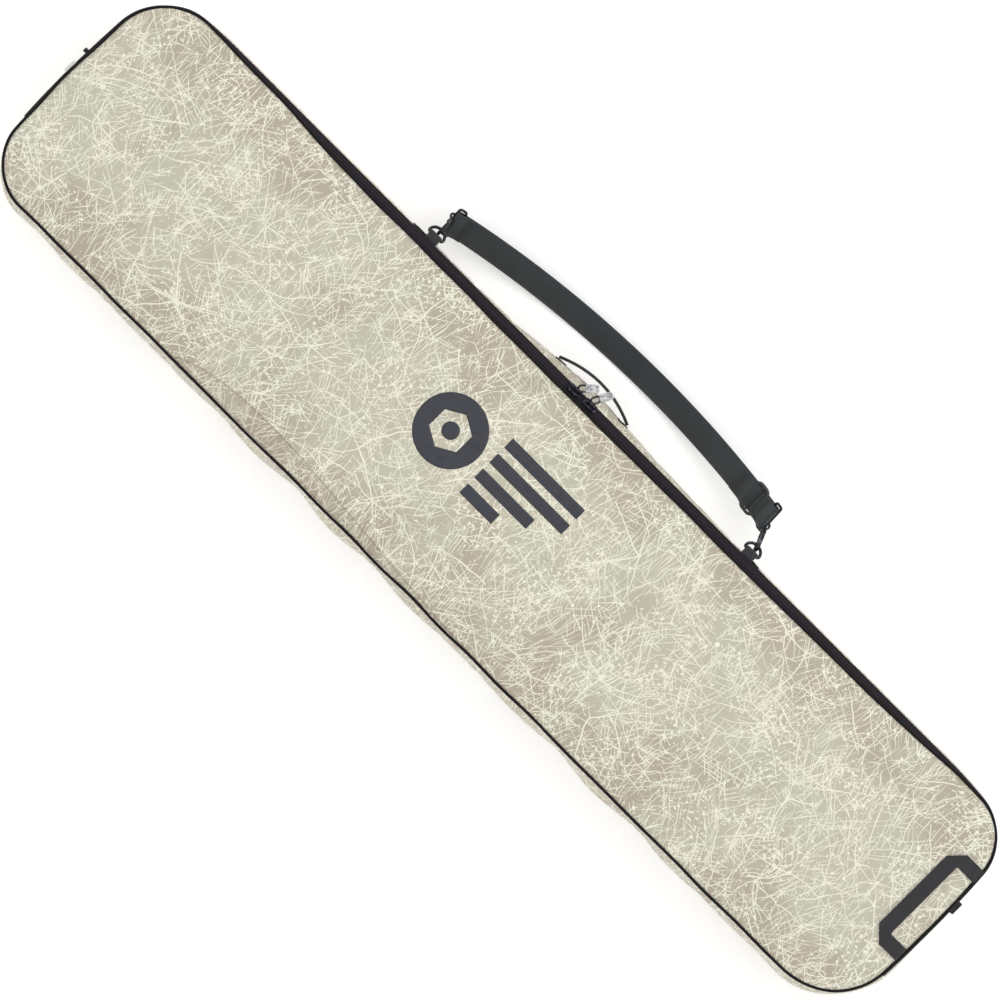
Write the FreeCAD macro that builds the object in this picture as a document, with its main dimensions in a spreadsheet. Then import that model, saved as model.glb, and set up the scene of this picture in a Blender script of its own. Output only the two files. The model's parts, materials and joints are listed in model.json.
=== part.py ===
"""Snowboard bag, closed and lying on its back panel, as separate pieces.

Frame: millimetres, origin at the middle of the back panel's underside, +X towards the tail
end, +Y towards the zip side, +Z up through the front panel. The front panel folds open
about a line along X near the far side; the zip runs round the rest of its edge.
"""

import FreeCAD, Part
import math
import os
import re
import Sketcher

Vector = FreeCAD.Vector
Rotation = FreeCAD.Rotation
Placement = FreeCAD.Placement

SIZES = {
    # outlines seen from above: the gusset is the widest one, the front panel sits inside it
    "gusset_half_length": 823.0,
    "gusset_half_width": 186.0,
    "gusset_shift": 0.0,
    "gusset_corner": 80.0,
    "front_half_length": 817.0,
    "front_half_width": 172.5,
    "front_shift": -4.0,
    "front_corner": 72.0,
    # levels above the floor
    "gusset_top": 98.0,
    "shoulder_top": 101.0,
    "front_underside": 117.0,
    "zip_level": 109.0,
    # layers
    "fabric": 1.0,
    "foam": 5.0,
    "gusset_foam": 4.0,
    "lining": 0.8,
    "front_foam_inset": 7.0,
    # the line about which the front panel folds open
    "fold_line": -88.0,
    "fold_gap": 0.5,
    # piping
    "piping_radius": 1.75,
    "seam_gap": 0.05,
    "back_piping_level": 2.2,
    "front_piping_level": 117.8,
    # zip: chain halves above and below the split, slider plates either side of the chain
    "tape": 1.0,
    "chain_width": 2.0,
    "chain_proud": 1.25,
    "chain_split": 1.2,
    "slider_length": 20.0,
    "slider_width": 11.0,
    "slider_plate": 1.5,
    "slider_gap": 0.3,
    "slider_neck_length": 3.0,
    "slider_neck": 0.8,
    "nose_slider_place": -30.5,
    "tail_slider_place": -6.0,
    "bail_height": 4.1,
    "bail_span": 11.0,
    "bail_bar": 0.9,
    "bail_down": 2.5,
    # zip pull, a ring and a flat moulded tab
    "pull_ring": 2.6,
    "pull_wire": 0.8,
    "pull_tab_start": 8.0,
    "pull_tab_length": 19.0,
    "pull_tab_width": 12.0,
    "pull_tab_thick": 3.0,
    "nose_pull_lean": 47.0,
    "tail_pull_lean": 28.0,
    # webbing tabs and label in the end seams
    "tab_reach": 6.0,
    "tab_thick": 2.4,
    "tab_level": 92.0,
    "nose_tab_width": 6.0,
    "tail_tab_width": 19.0,
    "nose_tab_place": 34.0,
    "tail_tab_place": 45.5,
    "label_width": 18.0,
    "label_reach": 6.0,
    "label_thick": 0.8,
    "label_level": 114.6,
    "label_place": 4.0,
    # grab handle on the gusset
    "grab_place": -15.0,
    "grab_half_span": 65.0,
    "grab_rise": 20.0,
    "grab_width": 25.0,
    "grab_end_width": 7.0,
    "grab_thick": 2.4,
    "grab_clear": 3.5,
    "grab_level": 57.0,
    # end handle, flat on the front panel at the tail
    "end_handle_in": 764.0,
    "end_handle_seam": 812.0,
    "end_handle_low": -62.0,
    "end_handle_high": 107.0,
    "end_handle_band": 21.0,
    "end_handle_mitre": 20.0,
    "end_handle_inner_mitre": 8.0,
    "end_handle_thick": 2.4,
    "end_handle_clear": 0.3,
    # shoulder strap fixing points: webbing tab and D-ring
    "anchor_place": 302.0,
    "anchor_middle": -12.0,
    "anchor_width": 20.0,
    "anchor_strip": 26.0,
    "anchor_fold": 3.5,
    "ring_bar_out": 4.2,
    "ring_level": 88.5,
    "ring_wire": 1.75,
    "ring_half_width": 12.25,
    "ring_depth": 15.0,
    "ring_droop": 35.0,
    "running_gap": 0.08,
    # snap hook, along its own axis from the swivel ring's centre
    "swivel_core": 5.2,
    "swivel_wire": 1.3,
    "post_radius": 1.5,
    "post_head": 2.6,
    "post_head_start": 13.1,
    "post_head_end": 14.6,
    "barrel_start": 9.0,
    "barrel_end": 13.0,
    "barrel_radius": 3.6,
    "hook_reach": 33.0,
    # each hook's direction: degrees it turns towards the tail and drops towards the floor
    "nose_hook_turn": -2.3,
    "nose_hook_drop": 41.3,
    "tail_hook_turn": -21.4,
    "tail_hook_drop": 22.8,
    "hook_end": 40.5,
    "hook_half_width": 9.0,
    "hook_throat": 5.4,
    "hook_inner_end": 36.5,
    "hook_thick": 4.0,
    "gate_start": 17.0,
    "gate_end": 31.0,
    "gate_gap": 0.4,
    "gate_thick": 2.4,
    # shoulder strap
    "strap_width": 40.0,
    "strap_thick": 2.4,
    "strap_sag": 58.0,
    "strap_tilt": 29.0,
    "hem_gap": 0.3,
    "loop_wire": 1.5,
    "loop_depth": 11.0,
    "loop_half_width": 23.5,
    "loop_bend": 3.0,
    "nose_ring_offset": 8.0,
    "tail_ring_offset": -11.0,
    "adjuster_from_end": 28.0,
    "adjuster_length": 25.0,
    "adjuster_width": 54.0,
    "adjuster_half_thick": 3.4,
    "adjuster_slot": 1.5,
    "adjuster_slot_width": 41.2,
}

ENDS = {"nose": -1.0, "tail": 1.0}

doc = FreeCAD.newDocument("snowboard_bag")
sheet = doc.addObject("Spreadsheet::Sheet", "Sizes")
pieces = []


def fill_sheet():
    """Writes each driving size and its alias in the sheet."""
    for row, (alias, value) in enumerate(SIZES.items(), start=1):
        sheet.set(f"A{row}", alias)
        sheet.set(f"B{row}", str(value))
        sheet.setAlias(f"B{row}", alias)
    doc.recompute()


def size(alias):
    """The sheet's value as a plain number."""
    return float(sheet.get(alias))


def cells(text):
    """Turns the aliases in an expression into references to the sheet."""

    def cell(word):
        return "Sizes." + word.group(0) if word.group(0) in SIZES else word.group(0)

    return re.sub(r"[a-z][a-z_]+", cell, str(text))


def bind(thing, **expressions):
    """Binds properties to the sheet; a double underscore stands for a dot."""
    for name, text in expressions.items():
        thing.setExpression(name.replace("__", "."), cells(text))


def keep(thing, label):
    """Names a finished sub-part."""
    thing.Label = label
    pieces.append(thing)


# ---------------------------------------------------------------- sketches and features


def origin_feature(body, role):
    return next(feature for feature in body.Origin.OriginFeatures if feature.Role == role)


def body_sketch(body, name, plane="XY_Plane"):
    sketch = body.newObject("Sketcher::SketchObject", name)
    sketch.AttachmentSupport = (origin_feature(body, plane), [""])
    sketch.MapMode = "FlatFace"
    return sketch


def draw_outline(sketch, kind, inset, tag=""):
    """A rectangle with round corners, the outline of the gusset or front panel moved in by inset."""
    texts = {
        "right": f"{kind}_half_length - ({inset})",
        "left": f"{kind}_half_length - ({inset})",
        "top": f"{kind}_half_width + {kind}_shift - ({inset})",
        "bottom": f"{kind}_half_width - {kind}_shift - ({inset})",
        "corner": f"{kind}_corner - ({inset})",
    }
    value = {name: float(sketch.evalExpression(cells(text))) for name, text in texts.items()}
    corner = value["corner"]
    middles = [
        Vector(value["right"] - corner, corner - value["bottom"], 0),
        Vector(value["right"] - corner, value["top"] - corner, 0),
        Vector(corner - value["left"], value["top"] - corner, 0),
        Vector(corner - value["left"], corner - value["bottom"], 0),
    ]
    first = sketch.GeometryCount
    for turn, middle in enumerate(middles):
        outward = Rotation(Vector(0, 0, 1), 90 * turn).multVec(Vector(0, -corner, 0))
        line = Part.LineSegment(middles[turn - 1] + outward, middle + outward)
        circle = Part.Circle(middle, Vector(0, 0, 1), corner)
        start = math.radians(90 * turn - 90)
        sketch.addGeometry([line, Part.ArcOfCircle(circle, start, start + math.pi / 2)])
    lines = [first + 2 * side for side in range(4)]
    arcs = [line + 1 for line in lines]
    constraint = Sketcher.Constraint
    for side in range(4):
        sketch.addConstraint(constraint("Tangent", lines[side], 2, arcs[side], 1))
        sketch.addConstraint(constraint("Tangent", arcs[side], 2, lines[(side + 1) % 4], 1))
        sketch.addConstraint(constraint("Vertical" if side % 2 else "Horizontal", lines[side]))
    for arc in arcs[1:]:
        sketch.addConstraint(constraint("Equal", arcs[0], arc))
    bottom, right, top, left = lines
    named = {
        "bottom": constraint("DistanceY", bottom, 1, -1, 1, value["bottom"]),
        "right": constraint("DistanceX", -1, 1, right, 1, value["right"]),
        "top": constraint("DistanceY", -1, 1, top, 1, value["top"]),
        "left": constraint("DistanceX", left, 1, -1, 1, value["left"]),
        "corner": constraint("Radius", arcs[0], corner),
    }
    for name, rule in named.items():
        sketch.renameConstraint(sketch.addConstraint(rule), tag + name)
        sketch.setExpression(f"Constraints.{tag}{name}", cells(texts[name]))


def draw_polygon(sketch, corners):
    """A closed polygon whose corners are pairs of expressions, each bound to the sheet."""
    values = [[float(sketch.evalExpression(cells(text))) for text in pair] for pair in corners]
    points = [Vector(across, up, 0) for across, up in values]
    count = len(points)
    for place in range(count):
        sketch.addGeometry(Part.LineSegment(points[place], points[(place + 1) % count]))
    for place in range(count):
        sketch.addConstraint(Sketcher.Constraint("Coincident", place, 2, (place + 1) % count, 1))
    for place, pair in enumerate(corners):
        for axis, text, value in zip("XY", pair, points[place]):
            rule = Sketcher.Constraint(f"Distance{axis}", -1, 1, place, 1, value)
            name = f"corner_{place}_{axis.lower()}"
            sketch.renameConstraint(sketch.addConstraint(rule), name)
            sketch.setExpression(f"Constraints.{name}", cells(text))


def pad(body, sketch, length, symmetric=False):
    feature = body.newObject("PartDesign::Pad", sketch.Name + "_pad")
    feature.Profile = sketch
    feature.SideType = "Symmetric" if symmetric else "One side"
    bind(feature, Length=length)
    return feature


def primitive(body, kind, base=(0, 0, 0), turn=None, **lengths):
    """Adds a PartDesign primitive such as AdditiveBox, its sizes and place bound to the sheet."""
    feature = body.newObject("PartDesign::" + kind, f"{body.Name}_{kind}")
    if turn is not None:
        feature.Placement = Placement(Vector(), turn)
    bind(feature, **lengths)
    bind(feature, **{"Placement__Base__" + axis: text for axis, text in zip("xyz", base)})
    return feature


ALONG_X = Rotation(Vector(0, 1, 0), 90)
ALONG_Y = Rotation(Vector(1, 0, 0), -90)


def rod(body, radius, length, base, turn, kind="AdditiveCylinder"):
    """A cylinder that starts at base."""
    return primitive(body, kind, base, turn, Radius=radius, Height=length)


def block(body, base, lengths, kind="AdditiveBox"):
    """A box that starts at base."""
    return primitive(body, kind, base, None, Length=lengths[0], Width=lengths[1], Height=lengths[2])


def new_body(label, origin=Vector(), x_axis=Vector(1, 0, 0), z_axis=Vector(0, 0, 1)):
    """A body with its own frame: origin, x axis and, as near as it can be, z axis."""
    body = doc.addObject("PartDesign::Body", label)
    x_axis = Vector(x_axis).normalize()
    y_axis = z_axis.cross(x_axis).normalize()
    body.Placement = Placement(origin, Rotation(x_axis, y_axis, x_axis.cross(y_axis), "XYZ"))
    return body


def zone(name, low_y, high_y, low_z, high_z):
    """A box over the bag's whole length, used to keep part of a ring or panel."""
    box = doc.addObject("Part::Box", name)
    reach = "gusset_half_length + 40"
    bind(box, Length=f"2 * ({reach})", Width=f"({high_y}) - ({low_y})", Height=f"({high_z}) - ({low_z})")
    bind(box, Placement__Base__x=f"-({reach})", Placement__Base__y=low_y, Placement__Base__z=low_z)
    return box


def boolean(kind, name, base, tool):
    result = doc.addObject("Part::" + kind, name)
    result.Base = base
    result.Tool = tool
    return result


# ---------------------------------------------------------------- shell of the bag


FAR_Y = "-(gusset_half_width + 40)"
NEAR_Y = "gusset_half_width + 40"
FIXED_EDGE = "fold_line - fold_gap / 2"
FLAP_EDGE = "fold_line + fold_gap / 2"


def layer(name, kind, inset, level, thick, hollow=None):
    """A flat layer, or a ring when the inset of its hollow is given."""
    body = new_body(name)
    sketch = body_sketch(body, name + "_outline")
    draw_outline(sketch, kind, inset)
    if hollow is not None:
        draw_outline(sketch, kind, hollow, "inner_")
    pad(body, sketch, thick)
    bind(body, Placement__Base__z=level)
    return body


def split_at_fold(name, layer_body, low_z, high_z):
    """Cuts a front layer into its fixed strip and its flap."""
    fixed = zone(name + "_fixed_zone", FAR_Y, FIXED_EDGE, low_z, high_z)
    flap = zone(name + "_flap_zone", FLAP_EDGE, NEAR_Y, low_z, high_z)
    keep(boolean("Common", name + "_fixed", layer_body, fixed), name + "_fixed")
    keep(boolean("Common", name + "_flap", layer_body, flap), name + "_flap")


def back_layers():
    keep(layer("back_panel", "gusset", "0", "0", "fabric"), "back_panel")
    keep(layer("back_foam", "gusset", "fabric", "fabric", "foam"), "back_foam")
    keep(layer("back_lining", "gusset", "fabric", "fabric + foam", "lining"), "back_lining")


def front_layers():
    panel = layer("front_sheet", "front", "0", "front_underside", "fabric")
    split_at_fold("front_panel", panel, "front_underside", "front_underside + fabric")
    foam = layer("front_pad", "front", "front_foam_inset", "front_underside - foam", "foam")
    split_at_fold("front_foam", foam, "front_underside - foam", "front_underside")
    lining_level = "front_underside - foam - lining"
    lining = layer("front_cloth", "front", "front_foam_inset", lining_level, "lining")
    split_at_fold("front_lining", lining, lining_level, "front_underside - foam")


def loose_outline(name, kind, inset, level):
    sketch = doc.addObject("Sketcher::SketchObject", name)
    draw_outline(sketch, kind, inset)
    bind(sketch, Placement__Base__z=level)
    return sketch


def shoulder_volume(name, inset):
    """The solid between the top of the gusset and the front panel, moved in by inset."""
    loft = doc.addObject("Part::Loft", name)
    foot = loose_outline(name + "_foot", "gusset", inset, "gusset_top")
    head = loose_outline(name + "_head", "front", inset, "front_underside")
    loft.Sections = [foot, head]
    loft.Solid = True
    loft.Ruled = True
    return loft


def shoulder_shell(name, outer_inset, inner_inset):
    outer = shoulder_volume(name + "_outer", outer_inset)
    inner = shoulder_volume(name + "_inner", inner_inset)
    return boolean("Cut", name, outer, inner)


def gusset(sloping):
    """Side band: a ring up to the shoulder, and on the far side on up to the front panel."""
    ring = layer("gusset_ring", "gusset", "0", "fabric", "gusset_top - fabric", "fabric")
    low = zone("shoulder_zone", FAR_Y, NEAR_Y, "gusset_top", "shoulder_top")
    far = zone("far_zone", FAR_Y, FIXED_EDGE, "shoulder_top", "front_underside")
    band = doc.addObject("Part::MultiFuse", "gusset_fabric")
    shoulder = boolean("Common", "gusset_shoulder", sloping, low)
    band.Shapes = [ring, shoulder, boolean("Common", "gusset_far_side", sloping, far)]
    band.Refine = True
    keep(band, "gusset_fabric")
    foot = "fabric + foam + lining"
    depth = f"gusset_top - 2 - ({foot})"
    skin = "fabric + gusset_foam"
    keep(layer("gusset_pad", "gusset", "fabric", foot, depth, skin), "gusset_foam")
    keep(layer("gusset_cloth", "gusset", skin, foot, depth, skin + " + lining"), "gusset_lining")


def corded_edge(name, kind, level):
    """A round cord swept along an outline."""
    inset = "-(piping_radius + seam_gap)"
    path = loose_outline(name + "_path", kind, inset, level)
    profile = doc.addObject("Sketcher::SketchObject", name + "_profile")
    profile.addGeometry(Part.Circle(Vector(), Vector(0, 0, 1), size("piping_radius")))
    profile.addConstraint(Sketcher.Constraint("Coincident", 0, 3, -1, 1))
    profile.addConstraint(Sketcher.Constraint("Radius", 0, size("piping_radius")))
    profile.setExpression("Constraints[1]", cells("piping_radius"))
    profile.Placement = Placement(Vector(), ALONG_X)
    bind(profile, Placement__Base__x=f"{kind}_corner - {kind}_half_length", Placement__Base__z=level)
    bind(profile, Placement__Base__y=f"{kind}_shift - {kind}_half_width + ({inset})")
    cord = doc.addObject("Part::Sweep", name)
    cord.Sections = [profile]
    cord.Spine = (path, [f"Edge{edge}" for edge in range(1, 9)])
    cord.Solid = True
    return cord


def piping():
    keep(corded_edge("piping_back", "gusset", "back_piping_level"), "piping_back")
    cord = corded_edge("front_cord", "front", "front_piping_level")
    low = "front_piping_level - 2 * piping_radius"
    split_at_fold("piping_front", cord, low, "front_piping_level + 2 * piping_radius")


# ---------------------------------------------------------------- zip


def slope():
    """Angle of the zip band from the vertical, in radians."""
    inward = size("gusset_half_width") - size("front_half_width") - size("front_shift")
    return math.atan2(inward, size("front_underside") - size("gusset_top"))


def zip_band(tape_shell):
    """Tape and chain halves: slices of the sloping shoulder on the zip side of the fold."""
    proud = shoulder_shell("chain_shell", "-chain_proud", "tape + chain_proud")
    lower_edge = "zip_level - chain_split / 2"
    upper_edge = "zip_level + chain_split / 2"
    levels = {
        "zip_tape_lower": (tape_shell, "shoulder_top", lower_edge + " - chain_width"),
        "zip_chain_lower": (proud, lower_edge + " - chain_width", lower_edge),
        "zip_chain_upper": (proud, upper_edge, upper_edge + " + chain_width"),
        "zip_tape_upper": (tape_shell, upper_edge + " + chain_width", "front_underside"),
    }
    for name, (shell, low, high) in levels.items():
        slab = zone(name + "_zone", FLAP_EDGE, NEAR_Y, low, high)
        keep(boolean("Common", name, shell, slab), name)


def zip_origin(end):
    """Middle of the zip chain under a slider."""
    rise = size("zip_level") - size("gusset_top")
    y = size("gusset_half_width") - math.tan(slope()) * rise - size("tape") / 2
    return Vector(size(end + "_slider_place"), y, size("zip_level"))


def down_slope():
    return Vector(0, math.sin(slope()), -math.cos(slope()))


def outward_normal():
    return Vector(0, math.cos(slope()), math.sin(slope()))


def plate_level():
    """Distance from the middle of the chain to a slider plate, as an expression."""
    half_chain = f"(tape / 2 + chain_proud) * {math.cos(slope()):.6f}"
    return f"({half_chain} + slider_gap)"


def zip_slider(end):
    """Two plates joined by a neck in the split of the chain, with a bail for the pull.

    The outer plate covers the lower chain only, so that the flap can lift past it."""
    name = "zip_slider_" + end
    body = new_body(name, zip_origin(end), Vector(1, 0, 0), outward_normal())
    level = plate_level()
    left = "-slider_length / 2"
    half_neck = "slider_neck / 2"
    lower_part = f"slider_width / 2 + {half_neck}"
    block(body, (left, f"-{half_neck}", level), ("slider_length", lower_part, "slider_plate"))
    inner = (left, "-slider_width / 2", f"-{level} - slider_plate")
    block(body, inner, ("slider_length", "slider_width", "slider_plate"))
    neck_side = {"nose": "slider_length / 2 - slider_neck_length", "tail": left}[end]
    level_turn = Rotation(Vector(1, 0, 0), 90 - math.degrees(slope()))
    cosine = f"{math.cos(slope()):.6f}"
    sine = f"{math.sin(slope()):.6f}"
    neck_reach = f"({level} + slider_plate / 2) / {cosine}"
    neck_back = f"-{sine} * {neck_reach} + {half_neck} * {cosine}"
    neck_foot = f"-{cosine} * {neck_reach} - {half_neck} * {sine}"
    neck_base = (neck_side, neck_back, neck_foot)
    neck_sizes = dict(Length="slider_neck_length", Width=f"2 * {neck_reach}", Height="slider_neck")
    primitive(body, "AdditiveBox", neck_base, level_turn, **neck_sizes)
    foot = f"{level} + slider_plate"
    for post in ("-bail_span / 2", "bail_span / 2 - slider_plate"):
        post_sizes = ("slider_plate", "2 * bail_bar", "bail_height")
        block(body, (post, "bail_down - bail_bar", foot), post_sizes)
    bar = ("-bail_span / 2", "bail_down", f"{foot} + bail_height")
    rod(body, "bail_bar", "bail_span", bar, ALONG_X)
    keep(body, name)


def bail_centre(end):
    level = (size("tape") / 2 + size("chain_proud")) * math.cos(slope()) + size("slider_gap")
    height = level + size("slider_plate") + size("bail_height")
    return zip_origin(end) + down_slope() * size("bail_down") + outward_normal() * height


def zip_pull(end):
    """A ring round the bail's bar with a flat tab, pointing away from the bag."""
    name = "zip_pull_" + end
    lean = math.radians(size(end + "_pull_lean"))
    body = new_body(name, bail_centre(end), Vector(math.sin(lean), math.cos(lean), 0))
    primitive(body, "AdditiveTorus", (0, 0, 0), ALONG_Y, Radius1="pull_ring", Radius2="pull_wire")
    stem = "pull_tab_start - pull_ring + 1"
    block(body, ("pull_ring", "-1.5 * pull_wire", "-pull_wire"), (stem, "3 * pull_wire", "2 * pull_wire"))
    tab = ("pull_tab_start", "-pull_tab_width / 2", "-pull_tab_thick / 2")
    block(body, tab, ("pull_tab_length", "pull_tab_width", "pull_tab_thick"))
    keep(body, name)


# ---------------------------------------------------------------- tabs, label and handles


def hold_tab(end):
    """A small folded webbing tab sewn in the end of the gusset."""
    name = "hold_tab_" + end
    body = new_body(name)
    width = end + "_tab_width"
    start = {"nose": "-gusset_half_length - tab_reach", "tail": "gusset_half_length"}[end]
    block(body, (start, f"{end}_tab_place - {width} / 2", "tab_level"), ("tab_reach", width, "tab_thick"))
    keep(body, name)


def seam_label():
    """A small blank fabric label that hangs out of the nose seam."""
    body = new_body("seam_label")
    start = "-front_half_length - label_reach - label_thick"
    sizes = ("label_reach", "label_width", "label_thick")
    block(body, (start, "label_place - label_width / 2", "label_level"), sizes)
    keep(body, "seam_label")


def turned_band(body, radius, half_thick, half_width, angle):
    """A strip that follows an arc about the body's Z axis, centred on the X axis."""
    sketch = body_sketch(body, f"{body.Name}_section_{len(body.Group)}", "XZ_Plane")
    inner = f"{radius} - ({half_thick})"
    outer = f"{radius} + ({half_thick})"
    lower = f"-({half_width})"
    draw_polygon(sketch, [(inner, lower), (outer, lower), (outer, half_width), (inner, half_width)])
    feature = body.newObject("PartDesign::Revolution", sketch.Name + "_turn")
    feature.Profile = sketch
    feature.ReferenceAxis = (origin_feature(body, "Z_Axis"), [""])
    feature.Midplane = True
    feature.Angle = math.degrees(angle)


def arc_radius(half_chord, rise):
    return (half_chord**2 + rise**2) / (2 * rise)


def grab_handle():
    """A webbing loop beside the sliders, narrowed to its sewn ends."""
    radius = arc_radius(size("grab_half_span"), size("grab_rise"))
    foot = size("gusset_half_width") + size("grab_clear")
    centre = Vector(size("grab_place"), foot + size("grab_rise") - radius, size("grab_level"))
    loop = new_body("grab_loop", centre, Vector(0, 1, 0))
    angle = 2 * math.asin(size("grab_half_span") / radius)
    turned_band(loop, f"{radius:.6f}", "grab_thick / 2", "grab_width / 2", angle)
    shape = new_body("grab_shape", Vector(size("grab_place"), foot, size("grab_level")))
    sketch = body_sketch(shape, "grab_outline", "XZ_Plane")
    waist = "grab_half_span * 0.6"
    end = "grab_half_span + grab_thick"
    half = "grab_width / 2"
    tip = "grab_end_width / 2"
    upper = [(end, tip), (waist, half), (f"-{waist}", half), (f"-({end})", tip)]
    lower = [(x, f"-({z})") for x, z in reversed(upper)]
    draw_polygon(sketch, upper + lower)
    pad(shape, sketch, "4 * grab_rise", symmetric=True)
    keep(boolean("Common", "grab_handle", loop, shape), "grab_handle")


def end_handle():
    """Flat webbing with mitred corners; its legs end at the tail seam of the front panel."""
    body = new_body("end_handle")
    bind(body, Placement__Base__z="front_underside + fabric + end_handle_clear")
    seam = "end_handle_seam"
    near = "end_handle_in"
    low = "end_handle_low"
    high = "end_handle_high"
    mitre = "end_handle_mitre"
    outer = [(seam, high), (f"{near} + {mitre}", high), (near, f"{high} - {mitre}")]
    outer += [(near, f"{low} + {mitre}"), (f"{near} + {mitre}", low), (seam, low)]
    window = f"{near} + end_handle_band"
    low = "end_handle_low + end_handle_band"
    high = "end_handle_high - end_handle_band"
    mitre = "end_handle_inner_mitre"
    inner = [(seam, low), (f"{window} + {mitre}", low), (window, f"{low} + {mitre}")]
    inner += [(window, f"{high} - {mitre}"), (f"{window} + {mitre}", high), (seam, high)]
    sketch = body_sketch(body, "end_handle_outline")
    draw_polygon(sketch, outer + inner)
    pad(body, sketch, "end_handle_thick")
    keep(body, "end_handle")


# ---------------------------------------------------------------- strap fixings


def ring_bar(end):
    """Middle of the straight bar of a D-ring."""
    x = size("anchor_middle") + ENDS[end] * size("anchor_place")
    return Vector(x, size("gusset_half_width") + size("ring_bar_out"), size("ring_level"))


def ring_direction():
    droop = math.radians(size("ring_droop"))
    return Vector(0, math.cos(droop), -math.sin(droop))


def wire_ring(name, body, corners, bow=None):
    """Round wire bent to a closed loop with round corners; bow puts a half circle on its far side."""
    path = body_sketch(body, name + "_path")
    wide, deep, bend, radius = (float(path.evalExpression(cells(text))) for text in corners)
    far = bend if bow else deep - bend
    middles = [Vector(wide - bend, bend, 0), Vector(wide - bend, far, 0)]
    middles += [Vector(bend - wide, far, 0), Vector(bend - wide, bend, 0)]
    upright = Vector(0, 0, 1)
    quarter = math.pi / 2
    bar = Part.LineSegment(Vector(bend - wide, 0, 0), Vector(wide - bend, 0, 0))
    first = Part.ArcOfCircle(Part.Circle(middles[0], upright, bend), -quarter, 0)
    last = Part.ArcOfCircle(Part.Circle(middles[3], upright, bend), 2 * quarter, 3 * quarter)
    if bow:
        top = [Part.ArcOfCircle(Part.Circle(Vector(0, bend, 0), upright, wide), 0, 2 * quarter)]
    else:
        top = [
            Part.LineSegment(Vector(wide, bend, 0), Vector(wide, far, 0)),
            Part.ArcOfCircle(Part.Circle(middles[1], upright, bend), 0, quarter),
            Part.LineSegment(Vector(wide - bend, deep, 0), Vector(bend - wide, deep, 0)),
            Part.ArcOfCircle(Part.Circle(middles[2], upright, bend), quarter, 2 * quarter),
            Part.LineSegment(Vector(-wide, far, 0), Vector(-wide, bend, 0)),
        ]
    path.addGeometry([bar, first] + top + [last])
    for place in range(path.GeometryCount):
        following = (place + 1) % path.GeometryCount
        path.addConstraint(Sketcher.Constraint("Tangent", place, 2, following, 1))
        path.addConstraint(Sketcher.Constraint("Block", place))
    profile = body_sketch(body, name + "_section", "YZ_Plane")
    profile.addGeometry(Part.Circle(Vector(), Vector(0, 0, 1), radius))
    profile.addConstraint(Sketcher.Constraint("Coincident", 0, 3, -1, 1))
    profile.addConstraint(Sketcher.Constraint("Radius", 0, radius))
    profile.setExpression("Constraints[1]", cells(corners[3]))
    bind(profile, AttachmentOffset__Base__z=f"{corners[2]} - {corners[0]}")
    pipe = body.newObject("PartDesign::AdditivePipe", name + "_pipe")
    pipe.Profile = profile
    pipe.Spine = (path, [f"Edge{edge}" for edge in range(1, path.GeometryCount + 1)])


def strap_anchor(end):
    """Webbing folded round the D-ring's bar, its two layers sewn to the gusset below."""
    name = "strap_anchor_" + end
    body = new_body(name, ring_bar(end))
    start = "-anchor_width / 2"
    strip = ("anchor_width", "tab_thick", "anchor_strip")
    block(body, (start, "-ring_bar_out", "-anchor_strip"), strip)
    rod(body, "anchor_fold", "anchor_width", (start, 0, 0), ALONG_X)
    bore = "ring_wire + running_gap"
    rod(body, bore, "anchor_width + 2", (start + " - 1", 0, 0), ALONG_X, "SubtractiveCylinder")
    keep(body, name)


def d_ring(end):
    """A straight bar and a half circle, bent from one round wire."""
    name = "d_ring_" + end
    normal = Vector(1, 0, 0).cross(ring_direction())
    body = new_body(name, ring_bar(end), Vector(1, 0, 0), normal)
    corners = ("ring_half_width", "ring_depth", "ring_depth - ring_half_width", "ring_wire")
    wire_ring(name, body, corners, bow=True)
    keep(body, name)


def swivel_centre(end):
    """Middle of the swivel ring, out from the D-ring along the hook's axis."""
    seat = ring_bar(end) + ring_direction() * size("ring_depth")
    return seat - hook_axis(end) * size("hook_reach")


def hook_axis(end):
    """From the swivel ring towards the D-ring."""
    turn = math.radians(size(end + "_hook_turn"))
    drop = math.radians(size(end + "_hook_drop"))
    level = math.cos(drop)
    return Vector(-math.sin(turn) * level, -math.cos(turn) * level, math.sin(drop))


def strap_width_direction():
    tilt = math.radians(size("strap_tilt"))
    return Vector(0, math.cos(tilt), math.sin(tilt))


def loop_centre(end):
    """Middle of the outer bar of a strap loop."""
    return swivel_centre(end) - strap_width_direction() * size(end + "_ring_offset")


def swivel_ring(end):
    """A ring round the strap loop's outer bar, with a headed post that the hook turns on."""
    name = "swivel_ring_" + end
    axis = hook_axis(end)
    across = strap_width_direction()
    body = new_body(name, swivel_centre(end), axis, across - axis * across.dot(axis))
    primitive(body, "AdditiveTorus", (0, 0, 0), Radius1="swivel_core", Radius2="swivel_wire")
    rod(body, "post_radius", "post_head_end - swivel_core", ("swivel_core", 0, 0), ALONG_X)
    head = "post_head_end - post_head_start"
    rod(body, "post_head", head, ("post_head_start", 0, 0), ALONG_X)
    keep(body, name)


def slot_outline(sketch, start, end, half_width):
    """A long hole shape with mitred corners, bound to the sheet."""
    cut = f"({half_width}) * 0.45"
    near = f"({start}) + {cut}"
    far = f"({end}) - {cut}"
    low = f"({half_width}) - {cut}"
    upper = [(start, low), (near, half_width), (far, half_width), (end, low)]
    lower = [(x, f"-({y})") for x, y in reversed(upper)]
    draw_polygon(sketch, upper + lower)


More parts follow.
